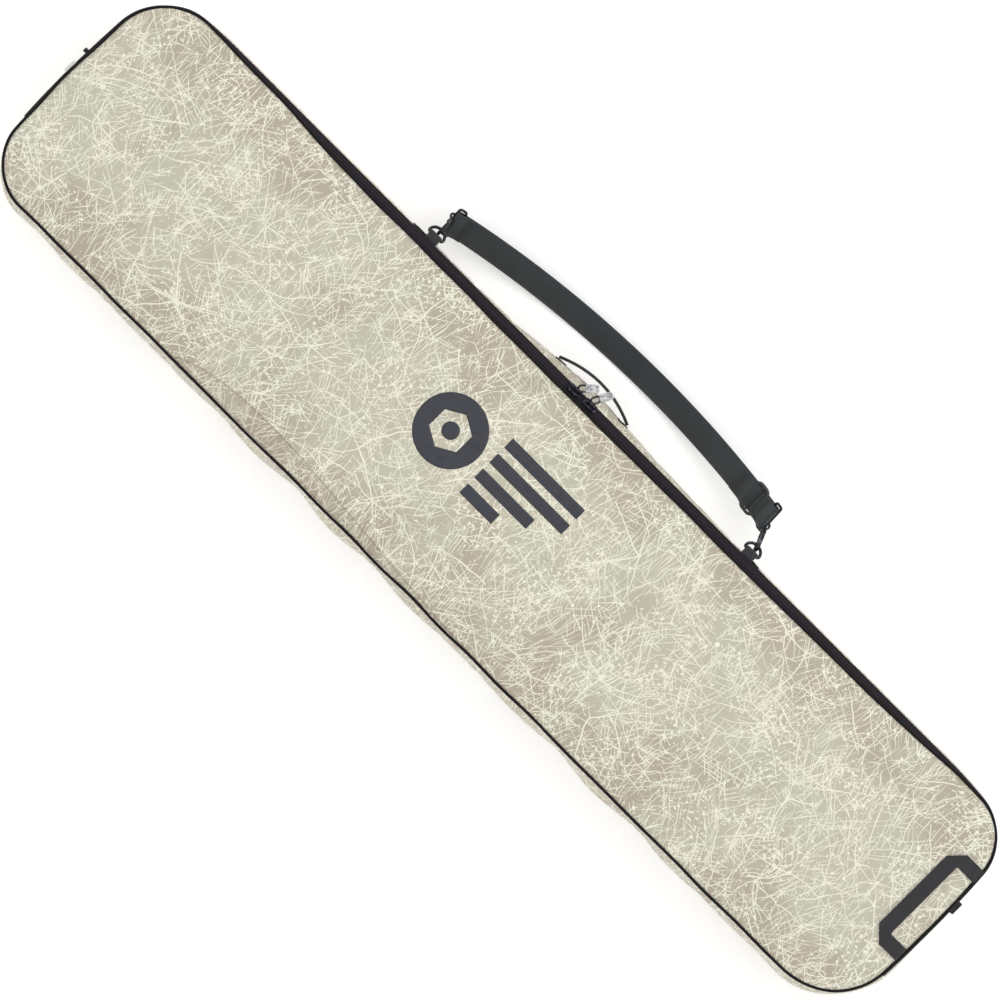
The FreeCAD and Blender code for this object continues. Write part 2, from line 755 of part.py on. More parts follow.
def snap_hook(end):
    """A flat hook with a barrel at the swivel and a gap in one side for the gate."""
    name = "snap_hook_" + end
    axis = hook_axis(end)
    side = Vector(1, 0, 0)
    body = new_body(name, swivel_centre(end), axis, side - axis * side.dot(axis))
    frame = body_sketch(body, name + "_frame")
    slot_outline(frame, "barrel_start", "hook_end", "hook_half_width")
    pad(body, frame, "hook_thick", symmetric=True)
    barrel = "barrel_end - barrel_start"
    rod(body, "barrel_radius", barrel, ("barrel_start", 0, 0), ALONG_X)
    throat = body_sketch(body, name + "_throat")
    slot_outline(throat, "barrel_end", "hook_inner_end", "hook_throat")
    opening = body.newObject("PartDesign::Pocket", name + "_opening")
    opening.Profile = throat
    opening.SideType = "Symmetric"
    bind(opening, Length="hook_thick * 2")
    gap = ("gate_end - gate_start", "hook_half_width", "hook_thick * 2")
    block(body, ("gate_start", "hook_throat / 2", "-hook_thick"), gap, "SubtractiveBox")
    bore = "post_radius + running_gap"
    rod(body, bore, barrel + " + 2", ("barrel_start - 1", 0, 0), ALONG_X, "SubtractiveCylinder")
    keep(body, name)


def hook_gate(end):
    """The sprung bar that closes the side of the hook."""
    name = "hook_gate_" + end
    axis = hook_axis(end)
    side = Vector(1, 0, 0)
    body = new_body(name, swivel_centre(end), axis, side - axis * side.dot(axis))
    length = "gate_end - gate_start - 2 * gate_gap"
    height = "hook_thick - 2 * gate_gap"
    start = ("gate_start + gate_gap", "hook_throat + gate_gap", f"-({height}) / 2")
    block(body, start, (length, "gate_thick", height))
    keep(body, name)


# ---------------------------------------------------------------- shoulder strap


def strap_arc():
    """The arc between the two strap loops: its plane's directions, centre, radius and half angle."""
    nose = loop_centre("nose")
    tail = loop_centre("tail")
    along = (tail - nose).normalize()
    across = strap_width_direction()
    across = (across - along * across.dot(along)).normalize()
    up = along.cross(across)
    half_chord = (tail - nose).Length / 2
    radius = arc_radius(half_chord, size("strap_sag"))
    centre = (nose + tail) * 0.5 + up * (radius - size("strap_sag"))
    return {
        "across": across,
        "up": up,
        "along": along,
        "centre": centre,
        "radius": radius,
        "half_angle": math.asin(half_chord / radius),
    }


def arc_point(arc, distance, end):
    """The point on the arc a distance in from one of its ends."""
    angle = ENDS[end] * (arc["half_angle"] - distance / arc["radius"])
    point = arc["centre"] + arc["along"] * (arc["radius"] * math.sin(angle))
    return point - arc["up"] * (arc["radius"] * math.cos(angle))


def shoulder_strap(arc):
    """Webbing on an arc, with a hem round the inner bar of each strap loop."""
    name = "shoulder_strap"
    body = new_body(name, arc["centre"], arc["up"] * -1, arc["across"])
    trimmed = arc["half_angle"] - size("loop_depth") / arc["radius"]
    reach = trimmed - (size("loop_wire") + size("hem_gap") + size("strap_thick") / 2) / arc["radius"]
    radius = f"{arc['radius']:.6f}"
    turned_band(body, radius, "strap_thick / 2", "strap_width / 2", 2 * reach)
    hem = "loop_wire + hem_gap + strap_thick"
    for side in ENDS.values():
        x = f"{arc['radius'] * math.cos(trimmed):.6f}"
        y = f"{side * arc['radius'] * math.sin(trimmed):.6f}"
        rod(body, hem, "strap_width", (x, y, "-strap_width / 2"), None)
        bore = (x, y, "-strap_width / 2 - 1")
        rod(body, "loop_wire + hem_gap", "strap_width + 2", bore, None, "SubtractiveCylinder")
    keep(body, name)


def strap_loop(arc, end):
    """A rectangular wire loop: inner bar in the strap's hem, outer bar in the swivel ring."""
    name = "strap_loop_" + end
    inner = arc_point(arc, size("loop_depth"), end)
    outer = loop_centre(end)
    outward = (outer - inner).normalize()
    upright = outward.cross(arc["across"])
    body = new_body(name, inner, upright.cross(outward), upright * -1)
    wire_ring(name, body, ("loop_half_width", "loop_depth", "loop_bend", "loop_wire"))
    keep(body, name)


def strap_adjuster(arc):
    """A flat sleeve that the webbing runs through, curved with it."""
    place = arc["half_angle"] - (size("loop_depth") + size("adjuster_from_end")) / arc["radius"]
    radial = arc["along"] * math.sin(place) - arc["up"] * math.cos(place)
    body = new_body("strap_adjuster", arc["centre"], radial, arc["across"])
    angle = size("adjuster_length") / arc["radius"]
    radius = f"{arc['radius']:.6f}"
    turned_band(body, radius, "adjuster_half_thick", "adjuster_width / 2", angle)
    slot = body_sketch(body, "adjuster_slot_section", "XZ_Plane")
    inner = f"{radius} - adjuster_slot"
    outer = f"{radius} + adjuster_slot"
    half = "adjuster_slot_width / 2"
    draw_polygon(slot, [(inner, f"-{half}"), (outer, f"-{half}"), (outer, half), (inner, half)])
    groove = body.newObject("PartDesign::Groove", "adjuster_slot_cut")
    groove.Profile = slot
    groove.ReferenceAxis = (origin_feature(body, "Z_Axis"), [""])
    groove.Midplane = True
    groove.Angle = 2 * math.degrees(angle)
    keep(body, "strap_adjuster")


# ---------------------------------------------------------------- build, check and write


def build():
    fill_sheet()
    back_layers()
    front_layers()
    tape_shell = shoulder_shell("tape_shell", "0", "tape")
    gusset(tape_shell)
    piping()
    zip_band(tape_shell)
    seam_label()
    grab_handle()
    end_handle()
    arc = strap_arc()
    shoulder_strap(arc)
    strap_adjuster(arc)
    for end in ENDS:
        zip_slider(end)
        zip_pull(end)
        hold_tab(end)
        strap_anchor(end)
        d_ring(end)
        swivel_ring(end)
        snap_hook(end)
        hook_gate(end)
        strap_loop(arc, end)
    doc.recompute()


def check():
    """Stops on a failed object or an unsound shape."""
    for thing in doc.Objects:
        if "Invalid" in thing.State or "Error" in thing.State:
            raise RuntimeError(f"{thing.Name} failed: {thing.State}")
    for piece in pieces:
        if piece.Shape.isNull() or not piece.Shape.isValid() or not piece.Shape.Solids:
            raise RuntimeError(f"{piece.Label} has no sound solid")


def write():
    os.makedirs("parts", exist_ok=True)
    for piece in pieces:
        piece.Shape.exportStep(f"parts/{piece.Label}.step")


build()
check()
write()
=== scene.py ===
import json
import math

import bmesh
import bpy
import numpy as np
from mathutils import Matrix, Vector
from mathutils.bvhtree import BVHTree


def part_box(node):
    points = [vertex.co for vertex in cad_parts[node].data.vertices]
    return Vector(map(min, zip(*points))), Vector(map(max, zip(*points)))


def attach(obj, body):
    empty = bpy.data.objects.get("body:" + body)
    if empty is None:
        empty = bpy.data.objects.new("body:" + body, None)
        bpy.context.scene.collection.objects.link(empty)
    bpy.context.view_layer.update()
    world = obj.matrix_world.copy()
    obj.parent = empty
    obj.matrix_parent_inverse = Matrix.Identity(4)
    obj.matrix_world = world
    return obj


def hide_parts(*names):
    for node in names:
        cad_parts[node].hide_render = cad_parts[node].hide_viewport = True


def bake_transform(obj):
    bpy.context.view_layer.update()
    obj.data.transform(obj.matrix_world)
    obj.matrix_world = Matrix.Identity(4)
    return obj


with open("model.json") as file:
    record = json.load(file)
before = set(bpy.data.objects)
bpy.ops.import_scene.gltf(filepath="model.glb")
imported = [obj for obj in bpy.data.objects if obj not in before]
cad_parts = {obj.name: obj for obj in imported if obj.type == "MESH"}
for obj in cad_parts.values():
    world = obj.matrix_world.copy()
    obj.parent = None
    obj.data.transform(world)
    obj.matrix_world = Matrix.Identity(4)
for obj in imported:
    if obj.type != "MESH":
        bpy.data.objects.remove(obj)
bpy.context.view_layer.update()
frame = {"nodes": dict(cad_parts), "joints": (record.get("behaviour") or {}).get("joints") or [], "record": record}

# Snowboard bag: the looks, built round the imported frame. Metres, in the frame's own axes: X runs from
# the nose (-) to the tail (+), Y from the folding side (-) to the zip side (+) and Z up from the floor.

JOINTS = {joint["name"]: joint for joint in frame["joints"]}
NODES = frame["nodes"]
BODY_NODES = frame["record"]["behaviour"]["bodies"]
MM = 0.001

# ---------------------------------------------------------------- driving dimensions

FRONT_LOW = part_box("front_panel_fixed")[0]
FRONT_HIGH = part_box("front_panel_flap")[1]
SIDE_LOW, SIDE_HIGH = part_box("gusset_fabric")
CORD_RADIUS = (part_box("piping_back")[1].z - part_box("piping_back")[0].z) / 2
FOLD_Y = JOINTS["flap_open"]["pos_m"][1]
RIM_Z = FRONT_HIGH.z            # height of the front panel's sewn edge
SHOULDER_Z = 98 * MM            # height of the gusset's upper edge, where the zip starts
BACK_SEAM_Z = 2.2 * MM
ZIP_EDGE_Y = 179.5 * MM         # outer edge of the zip's sloping band
ZIP_FADE_END = 0.79             # the band has gone under the cord this far from the middle
ZIP_FADE = 0.11                 # over this length
COIL_LINE = (173.9 * MM, 109.8 * MM)   # Y and Z of the straight run of the coil
COIL_SHARE = 0.585              # where it lies between the gusset (0) and the front seam (1)

LONG_STEPS = 330                # cloth squares along the bag
CROSS_STEPS = 72                # and across it
CORNER_RADII = (70 * MM, 92 * MM, 66 * MM, 75 * MM)   # nose/fold, tail/fold, tail/zip, nose/zip
END_BOW = 9 * MM                # the ends of the front panel bow outwards by this much
WAIST = 5 * MM                  # the zip side is this much narrower at the middle
WAIST_REACH = 0.70              # as far as this from the middle
FLARE = 5 * MM                  # and this much wider before the corners
FLARE_NOSE, FLARE_TAIL, FLARE_RUN = 0.46, 0.57, 0.14   # where that begins at each end, and its length
CROWN = 9 * MM                  # rise of the padded front panel above its seam
CROWN_REACH = 0.12              # reached this far in from the seam

FABRIC = 1.0 * MM               # thicknesses
LINING_CLOTH = 0.8 * MM
WEBBING = 2.2 * MM
PADDING = 6 * MM
SEAM_GAP = 1.2 * MM             # left between cloth and lining where they are sewn together
MOVE_LIMIT = 4 * MM             # the cloth simulation may move the shell this far
TINY = 1e-9                     # lengths closer than this are equal
PRINT_MAP = "print"             # UV layer that holds lengths in metres

# An edge is sharp where its two faces meet at more than this, in degrees.
SHARP_CLOTH, SHARP_MOULDED, SHARP_WEBBING, SHARP_METAL = 40, 35, 50, 50


# ---------------------------------------------------------------- outlines and meshes

def unit(vectors):
    """The same directions, with a length of one."""
    return vectors / np.linalg.norm(vectors, axis=-1, keepdims=True)


def run_length(path):
    """Distance along a path to each of its points."""
    return np.concatenate([[0], np.cumsum(np.linalg.norm(np.diff(path, axis=0), axis=1))])


def ease(value):
    """A soft step: 0 below 0, 1 above 1."""
    share = np.clip(value, 0, 1)
    return share ** 2 * (3 - 2 * share)


def at_height(points, z):
    """A row of (x, y) points, all at one height."""
    return np.column_stack([points, np.full(len(points), z)])


def resample(path, count):
    """count points spread evenly along a path, the last point left out."""
    along = run_length(path)
    wanted = np.linspace(0, along[-1], count, endpoint=False)
    return np.stack([np.interp(wanted, along, path[:, k]) for k in range(path.shape[1])], axis=1)


def quarter(centre, radius, first, last, count=24):
    """Points on an arc, angles in degrees."""
    angles = np.radians(np.linspace(first, last, count))
    return np.stack([centre[0] + radius * np.cos(angles), centre[1] + radius * np.sin(angles)], axis=1)


def loop(low, high, radii=CORNER_RADII, waist=WAIST):
    """A rounded outline, counter-clockwise from the middle of the nose/fold corner: the fold side, the tail
    end, the zip side and the nose end, with as many points as the edge of a panel's grid."""
    x_low, x_high = low[0] + END_BOW, high[0] - END_BOW
    y_low, y_high = low[1], high[1]
    ends = ((x_low, y_low, 1, 1), (x_high, y_low, -1, 1), (x_high, y_high, -1, -1), (x_low, y_high, 1, -1))
    centres = [(x + sx * r, y + sy * r) for (x, y, sx, sy), r in zip(ends, radii)]
    sides = []
    for side, count in enumerate((LONG_STEPS, CROSS_STEPS, LONG_STEPS, CROSS_STEPS)):
        after = (side + 1) % 4
        first = 180 + 90 * side
        path = np.concatenate([
            quarter(centres[side], radii[side], first + 45, first + 90),
            quarter(centres[after], radii[after], first + 90, first + 135),
        ])
        sides.append(resample(path, count))
    points = np.concatenate(sides)
    middle, half = (y_low + y_high) / 2, (y_high - y_low) / 2
    across = (points[:, 1] - middle) / half
    points[:, 0] += np.sign(points[:, 0]) * END_BOW * (1 - across ** 2)
    reach = np.minimum(np.abs(points[:, 0]) / WAIST_REACH, 1) ** 2
    points[:, 1] += waist * (reach - 1) * np.clip(across, 0, 1) ** 2
    return points


def outward(points):
    """Unit normals of a closed counter-clockwise outline, pointing away from it."""
    along = unit(np.roll(points, -1, axis=0) - np.roll(points, 1, axis=0))
    return np.stack([along[:, 1], -along[:, 0]], axis=1)


def closed_length(points):
    """Distance along a closed outline to each point, and round to the first one again."""
    return run_length(np.concatenate([points, points[:1]]))


def patch(points):
    """A grid of points that fills an outline: a Coons patch over its four sides."""
    n, k = LONG_STEPS, CROSS_STEPS
    ring = np.concatenate([points, points[:1]])
    fold, tail = ring[:n + 1], ring[n:n + k + 1]
    zipped, nose = ring[n + k:2 * n + k + 1][::-1], ring[2 * n + k:][::-1]
    u = np.linspace(0, 1, n + 1)[:, None, None]
    v = np.linspace(0, 1, k + 1)[None, :, None]
    sides = (1 - v) * fold[:, None] + v * zipped[:, None] + (1 - u) * nose[None] + u * tail[None]
    corners = ((1 - u) * (1 - v) * fold[0] + u * (1 - v) * fold[-1]
               + (1 - u) * v * zipped[0] + u * v * zipped[-1])
    return sides - corners


def edge_cells():
    """Grid indices of a panel's edge, in the order of its outline."""
    n, k = LONG_STEPS, CROSS_STEPS
    cells = [(i, 0) for i in range(n)] + [(n, j) for j in range(k)]
    cells += [(i, k) for i in range(n, 0, -1)] + [(0, j) for j in range(k, 0, -1)]
    return np.array(cells)


def edge_distance(grid, outline):
    """How far each point of a grid is from an outline."""
    rows = [np.linalg.norm(column[:, None] - outline[None], axis=2).min(axis=1) for column in grid]
    return np.array(rows)


def add_object(name, data):
    thing = bpy.data.objects.new(name, data)
    bpy.context.scene.collection.objects.link(thing)
    return thing


def smooth_object(name, mesh, material, sharp):
    """An object with smooth shading, and edges where faces meet at more than sharp degrees."""
    mesh.polygons.foreach_set("use_smooth", [True] * len(mesh.polygons))
    mesh.set_sharp_from_angle(angle=math.radians(sharp))
    mesh.materials.clear()
    mesh.materials.append(material)
    mesh.update()
    return add_object(name, mesh)


def finish_mesh(name, vertices, faces, uvs, material, sharp=SHARP_CLOTH):
    """Makes an object from arrays; uvs has one pair for each face corner."""
    mesh = bpy.data.meshes.new(name)
    mesh.from_pydata([tuple(p) for p in vertices], [], [tuple(f) for f in faces])
    if uvs is not None:
        layer = mesh.uv_layers.new(name=PRINT_MAP)
        layer.data.foreach_set("uv", np.asarray(uvs, np.float32).ravel())
    return smooth_object(name, mesh, material, sharp)


def grid_faces(rows, columns, wrap_rows=False, wrap_columns=False, keep=None):
    """Quads of a grid of points, with the grid cell of each corner for its UV."""
    r = np.arange(rows if wrap_rows else rows - 1)
    c = np.arange(columns if wrap_columns else columns - 1)
    r, c = [a.ravel() for a in np.meshgrid(r, c, indexing="ij")]
    if keep is not None:
        chosen = keep[r, c]
        r, c = r[chosen], c[chosen]
    corner_r = np.stack([r, r, r + 1, r + 1], axis=1)
    corner_c = np.stack([c, c + 1, c + 1, c], axis=1)
    faces = (corner_r % rows) * columns + corner_c % columns
    return faces, corner_r, corner_c


def sheet(name, points, uv, material, wrap_columns=False, keep=None, flip=False):
    """Cloth from a grid of points (rows, columns, 3). uv has one more column where the grid closes."""
    rows, columns = points.shape[:2]
    faces, corner_r, corner_c = grid_faces(rows, columns, False, wrap_columns, keep)
    if flip:
        faces, corner_r, corner_c = [a[:, ::-1] for a in (faces, corner_r, corner_c)]
    used, faces = np.unique(faces, return_inverse=True)
    vertices = points.reshape(-1, 3)[used]
    return finish_mesh(name, vertices, faces.reshape(-1, 4), uv[corner_r, corner_c], material)


def sweep(name, rings, material, closed=False, sharp=SHARP_CLOTH):
    """A solid skin over rings (stations, points round, 3), capped at both ends unless it closes."""
    stations, around = rings.shape[:2]
    faces, corner_r, corner_c = grid_faces(stations, around, closed, True)
    along = closed_length(rings.mean(axis=1))
    girth = closed_length(rings[0])
    uv = np.stack([along[corner_r], girth[corner_c]], axis=2).reshape(-1, 2)
    faces = faces.tolist()
    if not closed:
        faces += [list(range(around))[::-1], list(range((stations - 1) * around, stations * around))]
        uv = np.concatenate([uv, np.zeros((2 * around, 2))])
    return finish_mesh(name, rings.reshape(-1, 3), faces, uv, material, sharp)


def thicken(piece, thickness, offset=-1):
    """Gives cloth its thickness, inwards of its face unless offset says otherwise."""
    modifier = piece.modifiers.new("thickness", "SOLIDIFY")
    modifier.thickness = thickness
    modifier.offset = offset
    return piece


def tube(name, path, radius, material, closed=False, sides=12):
    """A round cord along a path."""
    path = np.asarray(path, float)
    ahead = np.roll(path, -1, axis=0) - np.roll(path, 1, axis=0) if closed else np.gradient(path, axis=0)
    along = unit(ahead)
    side = np.cross(along, (0, 0, 1.0))
    upright = np.linalg.norm(side, axis=1) < 1e-3
    side[upright] = np.cross(along[upright], (0, 1.0, 0))
    side = unit(side)
    up = np.cross(side, along)
    turn = np.linspace(0, 2 * math.pi, sides, endpoint=False)[:, None]
    rings = path[:, None] + radius * (np.cos(turn) * side[:, None] + np.sin(turn) * up[:, None])
    return sweep(name, rings, material, closed)


def band_section(width, thickness):
    """Cross-section of webbing: (across, up) pairs with rounded, thinner selvedges."""
    half = width / 2
    across = np.linspace(-half, half, 9)
    selvedge_share, round_out = 0.55, 0.22
    up = np.full(9, thickness / 2)
    up[[0, -1]] *= selvedge_share
    top = np.stack([across, up], axis=1)
    edge = np.array([[half + thickness * round_out, 0]])
    bottom = np.stack([across[::-1], -up[::-1]], axis=1)
    return np.concatenate([top, edge, bottom, -edge])


def band(name, path, across, width, thickness, material, spread=None):
    """Flat webbing along a path; across is the direction of its width, and spread the share of the full
    width at each point."""
    path = np.asarray(path, float)
    across = unit(np.broadcast_to(np.asarray(across, float), path.shape))
    up = unit(np.cross(np.gradient(path, axis=0), across))
    if spread is not None:
        across = across * spread[:, None]
    section = band_section(width, thickness)
    rings = path[:, None] + section[:, :1] * across[:, None] + section[:, 1:] * up[:, None]
    return sweep(name, rings, material, sharp=SHARP_WEBBING)


def waves(distance, wavelength, seed):
    """A smooth random line, about -1 to 1, that is the same on every run: four sine waves."""
    rng = np.random.default_rng(seed)
    total = np.zeros_like(distance, dtype=float)
    for _ in range(4):
        pitch = wavelength * rng.uniform(0.6, 1.7)
        total += np.sin(2 * math.pi * (distance / pitch + rng.uniform()))
    return total / 2


def ripple(points, wavelength, seed):
    """waves() along a closed outline, faded out where the outline begins and ends."""
    along = closed_length(points)
    to_seam = np.minimum(along, along[-1] - along)[:-1]
    return waves(along[:-1], wavelength, seed) * np.minimum(to_seam / 0.08, 1)


def rounded(half_long, half_wide, corner, taper=1.0):
    """A rounded rectangle about the origin, counter-clockwise; taper is the width of its far end."""
    corners = ((1, 1, 0), (-1, 1, 90), (-1, -1, 180), (1, -1, 270))
    outline = np.concatenate([
        quarter((sx * (half_long - corner), sy * (half_wide - corner)), corner, start, start + 90, 7)
        for sx, sy, start in corners
    ])
    outline[:, 1] *= 1 + (taper - 1) * (outline[:, 0] / half_long + 1) / 2
    return outline


def moulding(name, outline, profile, centre, axes, material):
    """A moulded block: an outline stacked in steps of (scale, height in millimetres), with axes ahead,
    aside and up."""
    ahead, aside, up = [np.asarray(axis, float) for axis in axes]
    flat = outline[:, :1] * ahead + outline[:, 1:] * aside
    rings = np.array([centre + flat * scale + up * (height * MM) for scale, height in profile])
    return sweep(name, rings, material, sharp=SHARP_MOULDED)


def add_prism(vertices, faces, rings):
    """Adds a closed solid over rings of points to a list of vertices and a list of faces."""
    base, count = len(vertices), len(rings[0])
    for ring in rings:
        vertices.extend(ring)
    last = len(vertices) - count
    for low in range(base, last, count):
        for k in range(count):
            after = (k + 1) % count
            faces.append((low + k, low + after, low + count + after, low + count + k))
    faces.append(tuple(range(base, base + count))[::-1])
    faces.append(tuple(range(last, last + count)))


def tree_of(grid, closed=False):
    """A surface as a tree that rays can be cast at."""
    faces = grid_faces(*grid.shape[:2], wrap_columns=closed)[0]
    return BVHTree.FromPolygons([tuple(p) for p in grid.reshape(-1, 3)], [tuple(f) for f in faces])


def body_of(node):
    return next(name for name, nodes in BODY_NODES.items() if node in nodes)


def settle_on_body(piece, body, slot, *replaced):
    """The piece moves with a body and stands for CAD nodes, if any are named; slot is not used."""
    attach(piece, body)
    if replaced:
        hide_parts(*replaced)


def settle_on_fold(piece, slot, *replaced):
    """Bakes the piece's place into its mesh and hides the CAD nodes that it stands for."""
    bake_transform(piece)
    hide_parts(*replaced)


# ---------------------------------------------------------------- materials

def linear(red, green, blue):
    """A colour as seen on screen, 0-255, turned into the renderer's scale."""
    parts = [c / 255 for c in (red, green, blue)]
    return tuple(c / 12.92 if c <= 0.04045 else ((c + 0.055) / 1.055) ** 2.4 for c in parts) + (1.0,)


def join(tree, value, socket):
    if isinstance(value, Field):
        tree.links.new(value.socket, socket)
    else:
        socket.default_value = value


class Field:
    """A value that varies over a surface. Arithmetic on it adds Math nodes to the material."""

    def __init__(self, tree, socket):
        self.tree = tree
        self.socket = socket

    def math(self, operation, *others, clamp=False):
        node = self.tree.nodes.new("ShaderNodeMath")
        node.operation = operation
        node.use_clamp = clamp
        for socket, value in zip(node.inputs, (self, *others)):
            join(self.tree, value, socket)
        return Field(self.tree, node.outputs[0])

    def __add__(self, other):
        return self.math("ADD", other)

    def __sub__(self, other):
        return self.math("SUBTRACT", other)

    def __mul__(self, other):
        return self.math("MULTIPLY", other)

    def __truediv__(self, other):
        return self.math("DIVIDE", other)

    def clamped(self):
        return self.math("ADD", 0.0, clamp=True)

    def fade(self, low, high):
        """0 at low, 1 at high, and clamped outside them."""
        return shader_node(self.tree, "ShaderNodeMapRange", "Result", {"interpolation_type": "SMOOTHSTEP"},
                           Value=self, From_Min=low, From_Max=high)


def shader_node(tree, kind, output, settings=(), **inputs):
    """Adds a node, sets its properties and inputs (with _ for a space), and returns one of its outputs."""
    node = tree.nodes.new(kind)
    for name, value in dict(settings).items():
        setattr(node, name, value)
    for name, value in inputs.items():
        join(tree, value, node.inputs[name.replace("_", " ")])
    return Field(tree, node.outputs[output])


def split(tree, vector):
    node = tree.nodes.new("ShaderNodeSeparateXYZ")
    join(tree, vector, node.inputs[0])
    return [Field(tree, output) for output in node.outputs]


def combine(tree, x, y, z=0.0):
    return shader_node(tree, "ShaderNodeCombineXYZ", "Vector", X=x, Y=y, Z=z)


def noise_field(tree, vector, scale, detail=2.0, roughness=0.5):
    return shader_node(tree, "ShaderNodeTexNoise", "Fac", Vector=vector, Scale=scale, Detail=detail,
                       Roughness=roughness)


def mix_colour(tree, factor, first, second):
    node = tree.nodes.new("ShaderNodeMix")
    node.data_type = "RGBA"
    join(tree, factor, node.inputs[0])
    join(tree, first, node.inputs[6])
    join(tree, second, node.inputs[7])
    return Field(tree, node.outputs[2])


def bump(tree, height, distance):
    return shader_node(tree, "ShaderNodeBump", "Normal", Height=height, Distance=distance, Strength=1.0)


def surface_lengths(tree):
    """Lengths along and across the cloth, in metres, from the piece's own map."""
    vector = shader_node(tree, "ShaderNodeUVMap", "UV", {"uv_map": PRINT_MAP})
    return (vector, *split(tree, vector)[:2])


def object_place(tree):
    return shader_node(tree, "ShaderNodeTexCoord", "Object")


def stripes(field, pitch):
    """A wave from 0 to 1 that repeats every pitch."""
    return (field * (2 * math.pi / pitch)).math("SINE") * 0.5 + 0.5


def weave(u, v, pitch):
    """Plain weave: threads that go over and under each other."""
    return stripes(u, pitch) * stripes(v, 2 * pitch) + stripes(v + pitch / 2, pitch) * stripes(u, 2 * pitch)


def principled(name, recipe):
    """A principled material. recipe gets the node tree and returns a value or a Field for each input that
    it names, with _ for a space."""
    material = bpy.data.materials.new(name)
    material.use_nodes = True
    tree = material.node_tree
    shader = tree.nodes["Principled BSDF"]
    for socket, value in recipe(tree).items():
        join(tree, value, shader.inputs[socket.replace("_", " ")])
    return material


def group_inputs(name, sockets):
    """A node group that takes numbers and gives ink, 0 to 1."""
    tree = bpy.data.node_groups.new(name, "ShaderNodeTree")
    for socket in sockets:
        tree.interface.new_socket(socket, in_out="INPUT", socket_type="NodeSocketFloat")
    tree.interface.new_socket("Ink", in_out="OUTPUT", socket_type="NodeSocketFloat")
    inputs = tree.nodes.new("NodeGroupInput")
    return tree, [Field(tree, socket) for socket in inputs.outputs[:len(sockets)]]


def group_output(tree, ink):
    join(tree, ink, tree.nodes.new("NodeGroupOutput").inputs["Ink"])
    return tree


def scattered_cells(tree, u, v, size, seed):
    """Splits the cloth into irregular cells: the place inside each, in metres, and three lots for it."""
    place = combine(tree, u / size + seed * 7.31, v / size + seed * 3.17)
    cell = tree.nodes.new("ShaderNodeTexVoronoi")
    cell.voronoi_dimensions = "2D"
    join(tree, place, cell.inputs["Vector"])
    cell.inputs["Scale"].default_value = 1.0
    local = tree.nodes.new("ShaderNodeVectorMath")
    local.operation = "SUBTRACT"
    join(tree, place, local.inputs[0])
    tree.links.new(cell.outputs["Position"], local.inputs[1])
    x, y, _ = [part * size for part in split(tree, Field(tree, local.outputs[0]))]
    return x, y, split(tree, Field(tree, cell.outputs["Color"]))


def lots(tree, *keys):
    """Three random numbers for a set of keys."""
    return split(tree, shader_node(tree, "ShaderNodeTexWhiteNoise", "Color", {"noise_dimensions": "3D"},
                                   Vector=combine(tree, *keys)))


INK_EDGE = 0.3 * MM


def inked(depth):
    """Full ink where depth, the distance inside a stroke, is positive, with a soft edge."""
    return (depth / INK_EDGE + 0.5).clamped()


def burst_group():
    """A drop of ink with fine curved needles running out of it, and a bead at the end of each."""
    tree, inputs = group_inputs("ink_burst", ("U", "V", "Size", "Spokes", "Reach", "Width", "Seed"))
    u, v, size, spokes, reach, width, seed = inputs
    x, y, (chance, bend, lot) = scattered_cells(tree, u, v, size, seed)
    radius = (x * x + y * y).math("SQRT")
    swirl = (bend - 0.5) * radius * 2.5
    spoke = (y.math("ARCTAN2", x) / (2 * math.pi) + chance + swirl) * spokes
    index = spoke.math("FLOOR")
    number = index.math("FLOORED_MODULO", spokes)
    lean, span, weight = lots(tree, number, lot * 57.0, chance * 91.0)
    aside = ((spoke - index - 0.5 - (lean - 0.5) * 0.95) * radius * (2 * math.pi) / spokes).math("ABSOLUTE")
    length = reach * (span * 0.75 + 0.25)
    half = width * (weight * 0.5 + 0.2) * (radius / length * -0.5 + 1.0)
    line = inked(half - aside) * radius.math("LESS_THAN", length)
    short = radius - length
    bead = inked(width * weight * 0.8 - (aside * aside + short * short).math("SQRT"))
    splash = inked(width * lot * 2.2 - radius)
    needles = line.math("MAXIMUM", bead) * weight.math("GREATER_THAN", 0.3)
    return group_output(tree, needles.math("MAXIMUM", splash))


def comb_group():
    """Fine wavering strokes side by side, in tufts that lean their own way."""
    names = ("U", "V", "Size", "Pitch", "Reach", "Width", "Seed", "Lean", "Spread")
    tree, inputs = group_inputs("ink_comb", names)
    u, v, size, pitch, reach, width, seed, lean, spread = inputs
    x, y, (chance, bend, lot) = scattered_cells(tree, u, v, size, seed)
    angle = lean + (chance - 0.5) * spread
    cosine, sine = angle.math("COSINE"), angle.math("SINE")
    along = x * cosine + y * sine
    aside = y * cosine - x * sine + (bend - 0.5) * along * along * 6.0
    fan = aside / pitch * ((along + 0.03).math("ABSOLUTE") * -5.0 + 1.3)
    index = fan.math("ROUND")
    shift, span, weight = lots(tree, index, lot * 57.0, chance * 91.0)
    off = (fan - index - (shift - 0.5) * 0.5 + (weight - 0.5) * along * 9.0) * pitch
    middle = along - (shift - 0.5) * reach * 1.2
    inside = reach * (span * 0.7 + 0.3) * 0.5 - middle.math("ABSOLUTE")
    half = width * (weight * 0.5 + 0.2) * (inside / reach * 1.6 + 0.4)
    line = inked(half - off.math("ABSOLUTE")) * inside.math("GREATER_THAN", 0.0)
    return group_output(tree, line * weight.math("GREATER_THAN", 0.42))


# Bursts: cell size, needles in each, their longest reach and their width, in millimetres.
BURSTS = (
    (170, 5, 140, 1.7),
    (105, 7, 74, 1.4),
    (66, 9, 44, 1.2),
    (46, 7, 30, 1.1),
    (31, 7, 17, 1.05),
)
